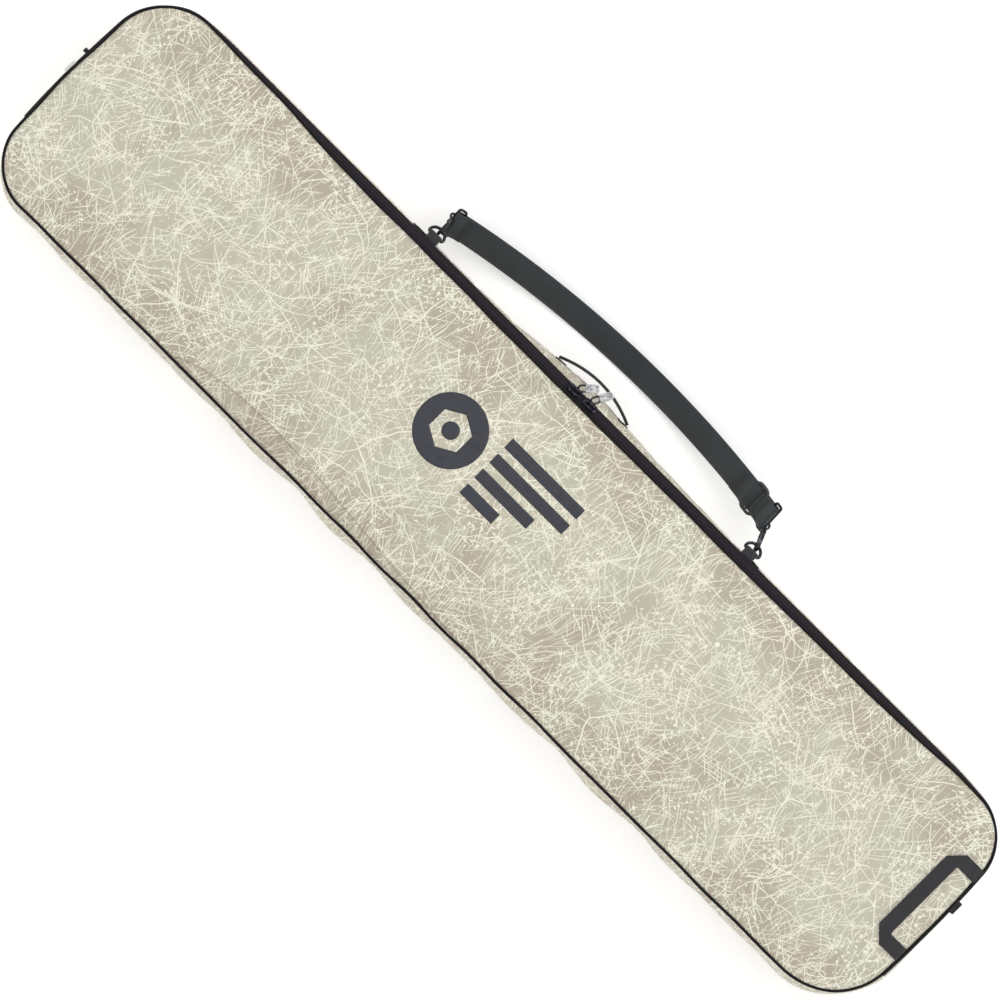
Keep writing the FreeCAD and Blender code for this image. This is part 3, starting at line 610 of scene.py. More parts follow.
# Combed tufts: cell size, distance between strokes, their length and width in millimetres, then the tufts'
# direction from the bag's length and how far it varies, in degrees.
COMBS = (
    (95, 7.0, 64, 1.1, 80, 50),
    (75, 6.0, 52, 1.05, 60, 60),
    (70, 5.5, 44, 1.0, 100, 70),
    (110, 10.0, 100, 1.35, 35, 50),
    (120, 12.0, 100, 1.3, 150, 60),
    (58, 6.0, 38, 0.95, 0, 180),
    (84, 5.0, 50, 0.9, 95, 45),
)
FABRIC_GROUND = linear(189, 184, 166)
# Taupe of the print's random patches, and also the painted shade towards the panel's long edges.
FABRIC_TAUPE_AND_SHADE = linear(171, 160, 143)
FABRIC_MINT = linear(188, 187, 167)
FABRIC_SHADE = linear(112, 92, 80)
FABRIC_GRAIN = linear(150, 140, 125)
WHITE = linear(255, 255, 255)
INK_CREAM = linear(238, 234, 216)
INK_MINT = linear(234, 235, 217)


def splatter(tree, vector, u, v):
    """The cream ink of the print, 0 to 1."""
    for scale, reach in ((18.0, 0.012), (75.0, 0.0026)):
        shift = shader_node(tree, "ShaderNodeTexNoise", "Color", Vector=vector, Scale=scale, Detail=1.0)
        shift_u, shift_v, _ = split(tree, shift)
        u = u + (shift_u - 0.5) * reach
        v = v + (shift_v - 0.5) * reach
    burst, comb = burst_group(), comb_group()
    layers = [(burst, (size * MM, spokes, reach * MM, width * MM, seed))
              for seed, (size, spokes, reach, width) in enumerate(BURSTS, start=1)]
    layers += [(comb, (size * MM, pitch * MM, reach * MM, width * MM, seed, math.radians(lean),
                       math.radians(spread)))
               for seed, (size, pitch, reach, width, lean, spread) in enumerate(COMBS, start=11)]
    ink = None
    for group, values in layers:
        node = tree.nodes.new("ShaderNodeGroup")
        node.node_tree = group
        for socket, value in zip(node.inputs, (u, v) + values):
            join(tree, value, socket)
        layer = Field(tree, node.outputs["Ink"])
        ink = layer if ink is None else ink.math("MAXIMUM", layer)
    crowd = noise_field(tree, vector, 11.0, 1.0).fade(0.5, 0.62)
    blots = noise_field(tree, combine(tree, u + 1.3, v), 190.0, 2.0) + crowd * 0.09
    return ink.math("MAXIMUM", blots.fade(0.66, 0.70))


def tuck_shade(u, v):
    """The shallow tuck beside the fold side: a dark line that leaves the cord and comes back to it, with the
    cloth beyond it in its shade."""
    run = ((u + 0.45) / 0.62).clamped().math("SQRT")
    hump = run * (run * -4.0 + 4.0)
    beyond = v * -1.0 - 0.1745 + hump * hump * 0.029
    edge = beyond.fade(-0.0003, 0.0008) - beyond.fade(0.0008, 0.0040) * 0.65
    return edge * hump.fade(0.0, 0.25) * beyond.fade(0.05, 0.04)


def printed_fabric(tree):
    """Woven polyester: a taupe ground with the cream splatter, with painted shade towards the long edges and
    beside the tuck.
    """
    vector, u, v = surface_lengths(tree)
    ink = splatter(tree, vector, u, v)
    # Painted shade: the ground turns taupe towards the long edges of the front panel and over the whole gusset,
    # whose v is 0.5 and more, standing in for the shading of the crowned panel. The noise adds random taupe
    # patches.
    painted_edge_shade = v.math("ABSOLUTE").fade(0.05, 0.17)
    taupe = noise_field(tree, vector, 7.0, 3.0) + (painted_edge_shade - 0.3) * 0.22
    mint = noise_field(tree, combine(tree, u + 3.7, v + 1.9), 13.0, 2.0).fade(0.44, 0.6)
    ground = mix_colour(tree, mint * 0.85, FABRIC_GROUND, FABRIC_MINT)
    ground = mix_colour(tree, taupe.fade(0.42, 0.68) * 0.85, ground, FABRIC_TAUPE_AND_SHADE)
    threads = weave(u, v, 0.45 * MM)
    grain = noise_field(tree, vector, 900.0, 1.0)
    colour = mix_colour(tree, ink * 0.92, ground, mix_colour(tree, mint, INK_CREAM, INK_MINT))
    colour = mix_colour(tree, tuck_shade(u, v) * 0.5, colour, FABRIC_SHADE)
    colour = mix_colour(tree, grain * 0.10, colour, FABRIC_GRAIN)
    return {
        "Base_Color": colour,
        "Roughness": ink * -0.06 + 0.78,
        "Normal": bump(tree, threads * 0.6 + grain * 0.4, 0.08 * MM),
        "Sheen_Weight": 0.15,
    }


def plain_cloth(colour, worn, pitch, roughness=0.85, depth=0.1 * MM, sheen=0.2):
    """Plain woven cloth with slight fading."""
    def recipe(tree):
        vector, u, v = surface_lengths(tree)
        faded = noise_field(tree, vector, 25.0, 4.0).fade(0.35, 0.75)
        threads = weave(u, v, pitch)
        return {
            "Base_Color": mix_colour(tree, faded * 0.6 + threads * 0.25, colour, worn),
            "Roughness": roughness,
            "Normal": bump(tree, threads, depth),
            "Sheen_Weight": sheen,
            "Specular_IOR_Level": 0.3,
        }
    return recipe


def webbing(colour, worn, rib, depth):
    """Webbing: ribs across the width with a fine diagonal, and paler thread on the crowns."""
    def recipe(tree):
        vector, u, v = surface_lengths(tree)
        ribs = stripes(u, rib) * 0.6 + stripes(u + v, rib * 1.7) * 0.4
        wear = noise_field(tree, vector, 22.0, 4.0).fade(0.3, 0.7) * 0.6
        return {
            "Base_Color": mix_colour(tree, ribs * 0.55 + wear * 0.4, colour, worn),
            "Roughness": 0.72,
            "Normal": bump(tree, ribs, depth),
            "Sheen_Weight": 0.25,
        }
    return recipe


def corded_tape(tree):
    """Zip tape: fine cords that run along it, with painted highlight stripes along them."""
    _, u, v = surface_lengths(tree)
    cords_and_highlights = stripes(v, 2.7 * MM) * 0.75 + stripes(u, 0.6 * MM) * 0.25
    return {
        # Painted highlight: the paler stripes of the colour stand for light caught along the cords. The bump gives
        # the cords their relief.
        "Base_Color": mix_colour(tree, cords_and_highlights, linear(8, 7, 9), linear(46, 40, 49)),
        "Roughness": 0.75,
        "Normal": bump(tree, cords_and_highlights, 0.3 * MM),
        "Specular_IOR_Level": 0.2,
    }


def plastic(colour, roughness):
    """Moulded plastic: fine orange peel and faint rubbed patches."""
    def recipe(tree):
        place = object_place(tree)
        return {
            "Base_Color": colour,
            "Roughness": noise_field(tree, place, 90.0, 4.0).fade(0.4, 0.8) * 0.22 + roughness,
            "Normal": bump(tree, noise_field(tree, place, 700.0, 2.0), 0.05 * MM),
        }
    return recipe


def cloudy_clear(tree):
    """Clear moulding that has gone cloudy in places."""
    place = object_place(tree)
    cloud = noise_field(tree, place, 260.0, 3.0).fade(0.35, 0.65)
    return {
        "Base_Color": mix_colour(tree, cloud, linear(150, 150, 152), linear(232, 233, 234)),
        "Roughness": 0.15,
        "Normal": bump(tree, noise_field(tree, place, 320.0, 2.0), 0.6 * MM),
        "Transmission_Weight": 0.45,
        "IOR": 1.49,
    }


def metal(colour, bright, roughness):
    """Plated casting: the plating is rubbed paler in places, with fine scratches."""
    def recipe(tree):
        place = object_place(tree)
        x, y, z = split(tree, place)
        rubbed = noise_field(tree, place, 160.0, 5.0, 0.6).fade(0.48, 0.72)
        scratches = noise_field(tree, combine(tree, x * 8.0, y, z * 3.0), 500.0, 3.0)
        return {
            "Base_Color": mix_colour(tree, rubbed, colour, bright),
            "Roughness": scratches * 0.25 + roughness,
            "Normal": bump(tree, scratches, 0.04 * MM),
            "Metallic": 1.0,
        }
    return recipe


def glowing_paper(tree):
    """White paper under the bag, which glows faintly: painted light that lifts the bag's shadow on it."""
    uneven = noise_field(tree, object_place(tree), 3.0, 2.0) * 0.2
    return {
        "Base_Color": mix_colour(tree, uneven, WHITE, linear(250, 250, 250)),
        "Roughness": 0.9,
        # Painted light: the paper glows, though it is no lamp, to wash out the bag's shadow.
        "Emission_Color": WHITE,
        "Emission_Strength": 0.16,
    }


PRINT = principled("printed_fabric", printed_fabric)
BACKING = principled("back_fabric", plain_cloth(linear(44, 44, 46), linear(62, 61, 63), 0.9 * MM, 0.7,
                                                0.15 * MM))
LINING = principled("lining", plain_cloth(linear(104, 104, 107), linear(124, 124, 126), 0.7 * MM))
CORD = principled("piping", plain_cloth(linear(7, 6, 8), linear(20, 18, 22), 0.5 * MM, 0.9, sheen=0.0))
TAPE = principled("zip_tape", corded_tape)
COIL = principled("zip_coil", plastic(linear(40, 36, 42), 0.35))
STRAP = principled("webbing", webbing(linear(24, 28, 32), linear(52, 58, 63), 1.1 * MM, 0.25 * MM))
HANDLE = principled("handle_webbing", webbing(linear(20, 18, 22), linear(38, 35, 41), 0.8 * MM, 0.12 * MM))
THREAD = principled("thread", plastic(linear(14, 14, 16), 0.6))
GUNMETAL = principled("hook_metal", metal(linear(52, 54, 58), linear(112, 115, 120), 0.24))
SLIDER = principled("slider_metal", metal(linear(44, 42, 48), linear(110, 108, 114), 0.26))
MOULDED = principled("adjuster_plastic", plastic(linear(44, 45, 48), 0.38))
CLEAR = principled("clear_pull", cloudy_clear)
EMBLEM_INK = principled("emblem_ink", plastic(linear(45, 47, 55), 0.5))
LABEL = principled("label", plain_cloth(linear(226, 226, 224), linear(206, 206, 206), 0.4 * MM))
PAPER = principled("floor_paper", glowing_paper)


# ---------------------------------------------------------------- the shell

def front_outline():
    """The front panel's seam, sewn by hand and not quite straight. On the zip side it runs out over the
    band before the corners."""
    line = loop(FRONT_LOW, FRONT_HIGH)
    x, y = line.T
    begins = np.where(x > 0, FLARE_TAIL, FLARE_NOSE)
    y += FLARE * ease((np.abs(x) - begins) / FLARE_RUN) * np.clip(y / FRONT_HIGH.y, 0, 1) ** 2
    return line + outward(line) * (0.5 * MM * ripple(line, 0.26, 51))[:, None]


def zip_run(outline):
    """1 along the zip side, fading to 0 before the corners and everywhere else."""
    x, y = outline.T
    return ease((ZIP_FADE_END - np.abs(x)) / ZIP_FADE) * (y > 0)


def shoulder_outline(front):
    """The gusset's upper edge. It stands out from the front seam along the zip side and a little on the
    other sides."""
    out = outward(front)
    least, fold_side, ends = 1.5 * MM, 4 * MM, 3.5 * MM
    spread = least + fold_side * np.clip(-out[:, 1], 0, 1) ** 2 + ends * out[:, 0] ** 2
    spread += (ZIP_EDGE_Y - front[:, 1] - spread) * zip_run(front)
    return front + out * spread[:, None]


def back_outline():
    """The back panel's seam, pulled in under the padded sides."""
    pull = 9 * MM
    low = (SIDE_LOW.x + pull, SIDE_LOW.y + pull)
    high = (SIDE_HIGH.x - pull, SIDE_HIGH.y - pull)
    return loop(low, high, [r + 3 * MM for r in CORNER_RADII], waist=0)


def front_surface(outline):
    """The padded front panel before it is settled: crowned, with broad soft waves."""
    flat = patch(outline)
    distance = edge_distance(flat, outline)
    x, y = flat[..., 0], flat[..., 1]
    crown = CROWN * (1 - (1 - np.minimum(distance / CROWN_REACH, 1)) ** 2.3)
    sway = 0.9 * MM * waves(x + 0.35 * y, 0.36, 11) * waves(y + 0.2 * x, 0.30, 12)
    return np.dstack([flat, RIM_Z + crown + sway * np.minimum(distance / 0.05, 1)]), distance


LOW_Z = 16 * MM                 # the gusset's rows are closer together below this
GUSSET_LEVELS = np.concatenate([
    np.linspace(BACK_SEAM_Z, LOW_Z, 4)[:-1],
    np.linspace(LOW_Z, SHOULDER_Z, 14),
    np.linspace(SHOULDER_Z, RIM_Z, 5)[1:],
])
SLACK_BULGE = 6 * MM            # how far the side stands out on the fold side and round the tail
GRAB_BULGE = 9 * MM             # by the grab handle
BROAD_BULGE = 5.5 * MM          # and along the middle of the zip side


def gusset_bulge(points, level):
    """How far the padded side stands out at a height, up to its upper edge."""
    share = (level - BACK_SEAM_Z) / (SHOULDER_Z - BACK_SEAM_Z)
    if share >= 1:
        return np.zeros(len(points))
    x, y = points.T
    ahead, aside = outward(points).T
    fold = np.clip(-aside, 0, 1) ** 2
    tail = np.clip(ahead, 0, 1) ** 2 * np.clip(0.4 - y / 0.15, 0, 1)
    by_grab = GRAB_BULGE * np.exp(-((x + 0.02) / 0.10) ** 2)
    broad = BROAD_BULGE * np.exp(-((x - 0.04) / 0.19) ** 4)
    full = 1 * MM + SLACK_BULGE * (fold + tail) * (1 + 0.4 * ripple(points, 0.12, 21))
    full += (by_grab + broad) * np.clip(aside, 0, 1)
    gather = 0.5 * MM * ripple(points, 0.035, 22) * math.exp(-((share - 0.93) / 0.09) ** 2)
    return full * math.sin(math.pi * share) ** 0.8 + gather


def gusset_surface(front, shoulder, back):
    """Rows of points from the back seam up to the front seam."""
    rows = []
    for level in GUSSET_LEVELS:
        if level <= SHOULDER_Z:
            share = (level - BACK_SEAM_Z) / (SHOULDER_Z - BACK_SEAM_Z)
            base = back + (shoulder - back) * share
        else:
            share = (level - SHOULDER_Z) / (RIM_Z - SHOULDER_Z)
            base = shoulder + (front - shoulder) * share
        rows.append(at_height(base + outward(base) * gusset_bulge(base, level)[:, None], level))
    return np.array(rows)


def fill_out(front, gusset):
    """Cloth simulation of the padded shell: the seams are held and light pressure fills the cloth, which has
    a little spare length, so that it puckers along its seams. Returns the two settled grids."""
    edge_row, edge_column = edge_cells().T
    rows, around = gusset.shape[:2]
    front_index = np.arange(front[..., 0].size).reshape(front.shape[:2])
    own_rows = front_index.size + np.arange((rows - 1) * around).reshape(rows - 1, around)
    gusset_index = np.concatenate([own_rows, front_index[edge_row, edge_column][None]])
    vertices = np.concatenate([front.reshape(-1, 3), gusset[:-1].reshape(-1, 3)])
    front_faces = grid_faces(*front.shape[:2])[0]
    side_faces = grid_faces(rows, around, wrap_columns=True)[0]
    faces = np.concatenate([front_faces[:, ::-1], gusset_index.ravel()[side_faces]])
    body = finish_mesh("shell_cloth", vertices, faces, None, PRINT)
    held = np.concatenate([gusset_index[0], gusset_index[GUSSET_LEVELS >= SHOULDER_Z - TINY].ravel()])
    pins = body.vertex_groups.new(name="seams")
    pins.add(np.unique(held).tolist(), 1.0, "REPLACE")
    cloth = body.modifiers.new("cloth", "CLOTH")
    settings = cloth.settings
    settings.quality = 5
    settings.mass = 0.25
    settings.tension_stiffness = 12
    settings.compression_stiffness = 12
    settings.shear_stiffness = 6
    settings.bending_stiffness = 0.6
    settings.use_pressure = True
    settings.uniform_pressure_force = 2.5
    settings.shrink_min = -0.006
    settings.vertex_group_mass = "seams"
    settings.effector_weights.gravity = 0
    for step in range(1, 21):
        bpy.context.scene.frame_set(step)
    puffed = body.evaluated_get(bpy.context.evaluated_depsgraph_get())
    move = np.array([v.co for v in puffed.data.vertices]) - vertices
    bpy.context.scene.frame_set(1)
    bpy.data.objects.remove(body)
    distance = np.linalg.norm(move, axis=1, keepdims=True)
    vertices += move * np.minimum(1, MOVE_LIMIT / np.maximum(distance, TINY))
    side = vertices[gusset_index.ravel()].reshape(rows, around, 3)
    return vertices[:front_index.size].reshape(front.shape), side


def seam_puckers(front, distance):
    """Adds gathers where the front panel is sewn to its cord, and the soft tuck by the fold side."""
    x, y = front[..., 0], front[..., 1]
    around = x + np.sign(y) * y * 0.3
    near = 1 - np.exp(-distance / 0.003)
    fine = waves(around, 0.026, 31) * np.exp(-distance / 0.011)
    broad = waves(around, 0.075, 33) * np.exp(-distance / 0.028) * (0.5 + 0.5 * waves(around, 0.5, 34))
    run = np.clip((x + 0.45) / 0.6, 0, 1)
    to_tuck = y + 0.172 - 0.019 * np.sin(math.pi * run ** 0.7)
    crease = np.exp(-(to_tuck / 0.004) ** 2) * 1.4 - np.tanh(to_tuck / 0.012) * 0.9
    crease *= np.sin(math.pi * run) ** 0.6 * np.exp(-np.clip(to_tuck, 0, 1) / 0.03)
    front[..., 2] += near * 0.9 * MM * (fine + broad) - 1.4 * MM * crease


FRONT_LINE = front_outline()
SHOULDER_LINE = shoulder_outline(FRONT_LINE)
BACK_LINE = back_outline()
FRONT, FRONT_DISTANCE = front_surface(FRONT_LINE)
GUSSET = gusset_surface(FRONT_LINE, SHOULDER_LINE, BACK_LINE)
FLAT = FRONT[..., :2].copy()
FRONT, GUSSET = fill_out(FRONT, GUSSET)
seam_puckers(FRONT, FRONT_DISTANCE)
AROUND = closed_length(FRONT_LINE)
ON_FLAP = FRONT_LINE[:, 1] > FOLD_Y      # where the zip runs


def front_cloth():
    """The printed front panel, and its lining on the far side of the foam."""
    piece = thicken(sheet("front_cloth", FRONT, FLAT, PRINT, flip=True), FABRIC)
    settle_on_fold(piece, "printed_fabric", "front_panel_fixed", "front_panel_flap")
    inside = FRONT.copy()
    inside[..., 2] -= PADDING * (1 - np.exp(-FRONT_DISTANCE / (4 * MM))) + SEAM_GAP
    inside[..., :2] *= 0.998
    lining = thicken(sheet("front_lining", inside, FLAT, LINING), LINING_CLOTH)
    settle_on_fold(lining, "lining", "front_lining_fixed", "front_lining_flap",
                   "front_foam_fixed", "front_foam_flap")


def gusset_cloth():
    """The side band: full height on the fold side, and up to the zip elsewhere."""
    rows, around = GUSSET.shape[:2]
    keep = np.ones((rows - 1, around), bool)
    keep[GUSSET_LEVELS[:-1] >= SHOULDER_Z - TINY] = ~ON_FLAP
    uv = np.stack(np.meshgrid(AROUND, GUSSET_LEVELS + 0.5), axis=2)
    piece = thicken(sheet("gusset_cloth", GUSSET, uv, PRINT, True, keep), FABRIC)
    settle_on_body(piece, "bag", "printed_fabric", "gusset_fabric")
    lower = GUSSET_LEVELS <= SHOULDER_Z + TINY
    inside = GUSSET[lower].copy()
    gaps = [2.5 * MM] + [PADDING] * (len(inside) - 2) + [SEAM_GAP]
    for row, gap in zip(inside, gaps):
        row[:, :2] -= outward(row[:, :2]) * gap
    inside[0, :, 2] = PADDING
    lining = sheet("gusset_lining_cloth", inside, uv[lower], LINING, True, flip=True)
    settle_on_body(thicken(lining, LINING_CLOTH), "bag", "lining", "gusset_lining", "gusset_foam")


def back_cloth():
    """The back panel, turned up a little at its seam, and its lining."""
    flat = patch(BACK_LINE)
    lift = 1.3 * MM * np.exp(-edge_distance(flat, BACK_LINE) / PADDING)
    piece = sheet("back_cloth", np.dstack([flat, 0.3 * MM + lift]), flat, BACKING)
    settle_on_body(thicken(piece, FABRIC), "bag", "back_fabric", "back_panel")
    inner = np.dstack([flat * 0.993, 6.4 * MM + 0.4 * MM * waves(flat[..., 0], 0.15, 41)])
    lining = thicken(sheet("back_lining_cloth", inner, flat, LINING, flip=True), LINING_CLOTH)
    settle_on_body(lining, "bag", "lining", "back_lining", "back_foam")


def cord(name, line, stand, z, radius):
    """Corded edging that stands out from a seam, by an amount that may vary along it."""
    place = line + outward(line) * np.broadcast_to(stand, len(line))[:, None]
    return tube(name, at_height(place, z), radius, CORD, closed=True)


def cords():
    uneven = CORD_RADIUS * 0.8 + 0.5 * MM * ripple(FRONT_LINE, 0.10, 52)
    front = cord("front_cord", FRONT_LINE, uneven, RIM_Z - 0.2 * MM, CORD_RADIUS * 1.15)
    settle_on_fold(front, "piping", "piping_front_fixed", "piping_front_flap")
    back = cord("back_cord", BACK_LINE, CORD_RADIUS * 0.9, CORD_RADIUS + 0.3 * MM, CORD_RADIUS)
    settle_on_body(back, "bag", "piping", "piping_back")


# ---------------------------------------------------------------- the zip

TAPE_SPAN = 25 * MM             # width of cloth over the whole band, for the tape's pattern
COIL_DEPTH = 1.2 * MM           # the teeth lie this far under the band
TOOTH_PITCH = 2.6 * MM
TOOTH_HALF_LONG = 0.62 * MM
TOOTH_HALF_HIGH = 0.8 * MM
TOOTH_SHAPE = ((-1, -0.6), (-0.6, -1), (0.6, -1), (1, -0.6), (1, 0.6), (0.6, 1), (-0.6, 1), (-1, 0.6))
SLIDER_PROFILE = ((0.8, 0.0), (0.98, 0.5), (1.0, 1.2), (0.82, 1.7), (0.82, 2.6), (1.0, 3.0),
                  (1.0, 4.0), (0.9, 4.8), (0.6, 5.1))
GRIP_PROFILE = ((0.6, -2.4), (0.93, -2.3), (1.0, -1.6), (1.0, 1.6), (0.93, 2.4), (0.84, 2.4),
                (0.76, 1.5), (0.3, 1.3))
GRIP_REACH = {"nose": 17.5 * MM, "tail": 19.5 * MM}

ZIP_COLUMNS = np.arange(np.flatnonzero(ON_FLAP)[0], np.flatnonzero(ON_FLAP)[-1] + 1)


def zip_point(share, lift):
    """Points of the zip's sloping band, from its tail end to its nose end: share runs from the gusset (0) to
    the front seam (1), and lift is the height above the band along its outward normal."""
    low = at_height(SHOULDER_LINE, SHOULDER_Z)
    high = at_height(FRONT_LINE, RIM_Z)
    middle = low + (high - low) * COIL_SHARE
    middle[:, 1:] += (COIL_LINE - middle[:, 1:]) * zip_run(FRONT_LINE)[:, None]
    if share <= COIL_SHARE:
        base = low + (middle - low) * share / COIL_SHARE
    else:
        base = middle + (high - middle) * (share - COIL_SHARE) / (1 - COIL_SHARE)
    along = np.roll(low, -1, axis=0) - np.roll(low, 1, axis=0)
    return (base + unit(np.cross(along, high - low)) * lift)[ZIP_COLUMNS]


def zip_tape(name, first, last, body, node):
    """One half of the tape, with raised cords along it."""
    shares = np.linspace(first, last, 25)
    raised = 0.9 * MM + 0.5 * MM * np.cos((shares - first) / (last - first) * 6 * math.pi)
    grid = np.array([zip_point(share, lift) for share, lift in zip(shares, raised)])
    uv = np.stack(np.meshgrid(AROUND[ZIP_COLUMNS], (shares - first) * TAPE_SPAN), axis=2)
    settle_on_body(thicken(sheet(name, grid, uv, TAPE), 0.8 * MM), body, "zip_tape", node)


def zip_teeth(name, first, last, body, node, phase):
    """The moulded coil under the tape: a row of small teeth from one share of the band to another."""
    inner, outer = zip_point(first, -COIL_DEPTH), zip_point(last, -COIL_DEPTH)
    along = run_length(inner)

    def place(line, stop):
        return np.array([np.interp(stop, along, line[:, k]) for k in range(3)])

    vertices, faces = [], []
    for stop in np.arange(TOOTH_PITCH * (1 + phase), along[-1] - TOOTH_PITCH, TOOTH_PITCH):
        root, tip = place(inner, stop), place(outer, stop)
        ahead = unit(place(inner, stop + TOOTH_PITCH / 2) - root)
        up = np.cross(ahead, unit(tip - root))
        shape = [ahead * s * TOOTH_HALF_LONG + up * t * TOOTH_HALF_HIGH for s, t in TOOTH_SHAPE]
        neck = root + (tip - root) * 0.8
        add_prism(vertices, faces, [[end + scale * point for point in shape]
                                    for end, scale in ((root, 1.0), (neck, 1.0), (tip, 0.6))])
    settle_on_body(finish_mesh(name, vertices, faces, None, COIL), body, "zip_coil", node)


def band_frame(x):
    """The middle of the zip's band at x, with its directions: along X, up the slope and outwards."""
    middle = zip_point(COIL_SHARE, 0)
    index = np.argmin(np.abs(middle[:, 0] - x))
    slope = unit((zip_point(0.7, 0) - middle)[index])
    along = unit(middle[index - 1] - middle[index + 1])
    return middle[index], (along, slope, np.cross(slope, along))


def zip_slider(end):
    """A slider's two plates, with a waist between them, and the bridge that carries the pull."""
    low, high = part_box(f"zip_slider_{end}")
    centre, axes = band_frame((low.x + high.x) / 2)
    along, _, out = axes
    plates = moulding(f"zip_slider_{end}_plates", rounded(11.5 * MM, 7.4 * MM, 4.5 * MM, 0.8),
                      SLIDER_PROFILE, centre, axes, SLIDER)
    settle_on_body(plates, f"{end}_slider", "slider_metal", f"zip_slider_{end}")
    arch = [centre + along * 7.5 * MM * math.cos(t) + out * (4.4 + 3.6 * math.sin(t) ** 0.8) * MM
            for t in np.linspace(0, math.pi, 17)]
    bridge = tube(f"zip_slider_{end}_bridge", arch, 1.5 * MM, SLIDER)
    settle_on_body(bridge, f"{end}_slider", "slider_metal")


def zip_pull(end):
    """A black link and a thick clear grip with a raised rim."""
    swing = JOINTS[f"{end}_pull_swing"]
    hook, aside = np.array(swing["pos_m"]), np.array(swing["axis"])
    ahead = np.array([-aside[1], aside[0], 0.0])
    link = [hook + ahead * (4.6 * MM + x) + aside * y for x, y in rounded(6.2 * MM, 4.2 * MM, 4 * MM)]
    link = tube(f"zip_pull_{end}_link", link, 1.45 * MM, SLIDER, closed=True)
    settle_on_body(link, f"{end}_pull", "slider_metal")
    grip = moulding(f"zip_pull_{end}_grip", rounded(9.6 * MM, 6.2 * MM, 3.2 * MM, 0.92), GRIP_PROFILE,
                    hook + ahead * GRIP_REACH[end], (ahead, aside, (0, 0, 1)), CLEAR)
    settle_on_body(grip, f"{end}_pull", "clear_pull", f"zip_pull_{end}")


def zip_band():
    """Both halves of the zip, each over its share of the band. The teeth of the two halves interlock."""
    zip_tape("zip_tape_gusset_half", 0.02, 0.57, "bag", "zip_tape_lower")
    zip_tape("zip_tape_flap_half", 0.60, 1.0, "flap", "zip_tape_upper")
    zip_teeth("zip_coil_gusset_half", 0.44, 0.60, "bag", "zip_chain_lower", 0.0)
    zip_teeth("zip_coil_flap_half", 0.73, 0.57, "flap", "zip_chain_upper", 0.5)


# ---------------------------------------------------------------- draping on the front

FRONT_TREE = tree_of(FRONT)


def front_level(x, y):
    """Height of the settled front panel, or of its edge outside it."""
    hit = FRONT_TREE.ray_cast(Vector((x, y, 1)), Vector((0, 0, -1)))
    return hit[0].z if hit[0] is not None else RIM_Z


def drape(points, lift):
    """Lays a grid of (x, y) points on the front panel."""
    heights = np.array([[front_level(x, y) for x, y in row] for row in points])
    return np.dstack([points, heights + lift])


def end_handle():
    """Flat webbing with mitred corners; its two ends are sewn into the tail seam."""
    low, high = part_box("end_handle")
    width = 21 * MM
    seam = FRONT_HIGH.x - 1 * MM
    edges = []
    for inset, cut in ((0, 20 * MM), (width, 1.5 * MM)):
        left, bottom, top = low.x + inset, low.y + inset, high.y - inset
        corners = ((seam, bottom), (left + cut, bottom), (left, bottom + cut),
                   (left, top - cut), (left + cut, top), (seam, top))
        parts = [np.linspace(a, b, n, endpoint=False)
                 for a, b, n in zip(corners, corners[1:], (14, 8, 36, 8, 14))]
        edges.append(np.concatenate(parts + [corners[-1:]]))
    share = np.linspace(0, 1, 7)[:, None, None]
    flat = edges[0] * (1 - share) + edges[1] * share
    slack = np.sin(np.linspace(0, math.pi, flat.shape[1])) ** 2 * 1.5 * MM
    points = drape(flat, 2.6 * MM + slack)
    uv = np.stack(np.meshgrid(run_length(edges[0]), share.ravel() * width), axis=2)
    piece = thicken(sheet("end_handle_webbing", points, uv, HANDLE, flip=True), 2 * MM)
    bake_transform(piece)
    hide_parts("end_handle")


def emblem_grids():
    """Grids of (x, y), and whether they close: a plain disc with a six-sided window and a dot in it, and
    four stepped bars."""
    turn = np.linspace(0, 2 * math.pi, 96, endpoint=False)
    circle = 52 * MM * np.stack([np.cos(turn), np.sin(turn)], axis=1)
    sector = (turn + math.pi / 6) % (math.pi / 3) - math.pi / 6
    window = circle * (0.50 / np.cos(sector))[:, None]
    centre = np.array([-0.113, 0.019])
    share = np.linspace(0, 1, 8)[:, None, None]
    yield True, centre + circle * (1 - share) + window * share
    yield True, centre + circle * np.linspace(0.24, 0.001, 5)[:, None, None]
    left, first_top, step, thick = -0.046, 0.071, 28.5 * MM, 17 * MM
    for number, length in enumerate((0.137, 0.137, 0.098, 0.060)):
        top = first_top - number * step
        x, y = np.linspace(left, left + length, 50), np.linspace(top, top - thick, 8)
        yield False, np.stack(np.meshgrid(x, y), axis=2)


def emblem():
    for number, (ring, flat) in enumerate(emblem_grids(), start=1):
        uv = np.concatenate([flat, flat[:, :1]], axis=1)
        piece = sheet(f"emblem_{number}", drape(flat, 0.35 * MM), uv, EMBLEM_INK, ring, flip=not ring)
        settle_on_body(thicken(piece, 0.3 * MM, 0), "flap", "printed_fabric")


# ---------------------------------------------------------------- the carrying strap

RUN = JOINTS["adjuster_run"]
ARC_CENTRE = np.array(RUN["pos_m"])
ACROSS = np.array(RUN["axis"])
DOWN = unit(np.array([0, 0, -1.0]) + ACROSS * ACROSS[2])
AHEAD = np.cross(ACROSS, DOWN)
AHEAD *= np.sign(AHEAD[0])


def strap_numbers(node):
    """Angles, radii and offsets across of a node's vertices, about the strap's arc."""
    points = np.array([v.co for v in NODES[node].data.vertices]) - ARC_CENTRE
    down, ahead = points @ DOWN, points @ AHEAD
    return np.arctan2(ahead, down), np.hypot(ahead, down), points @ ACROSS


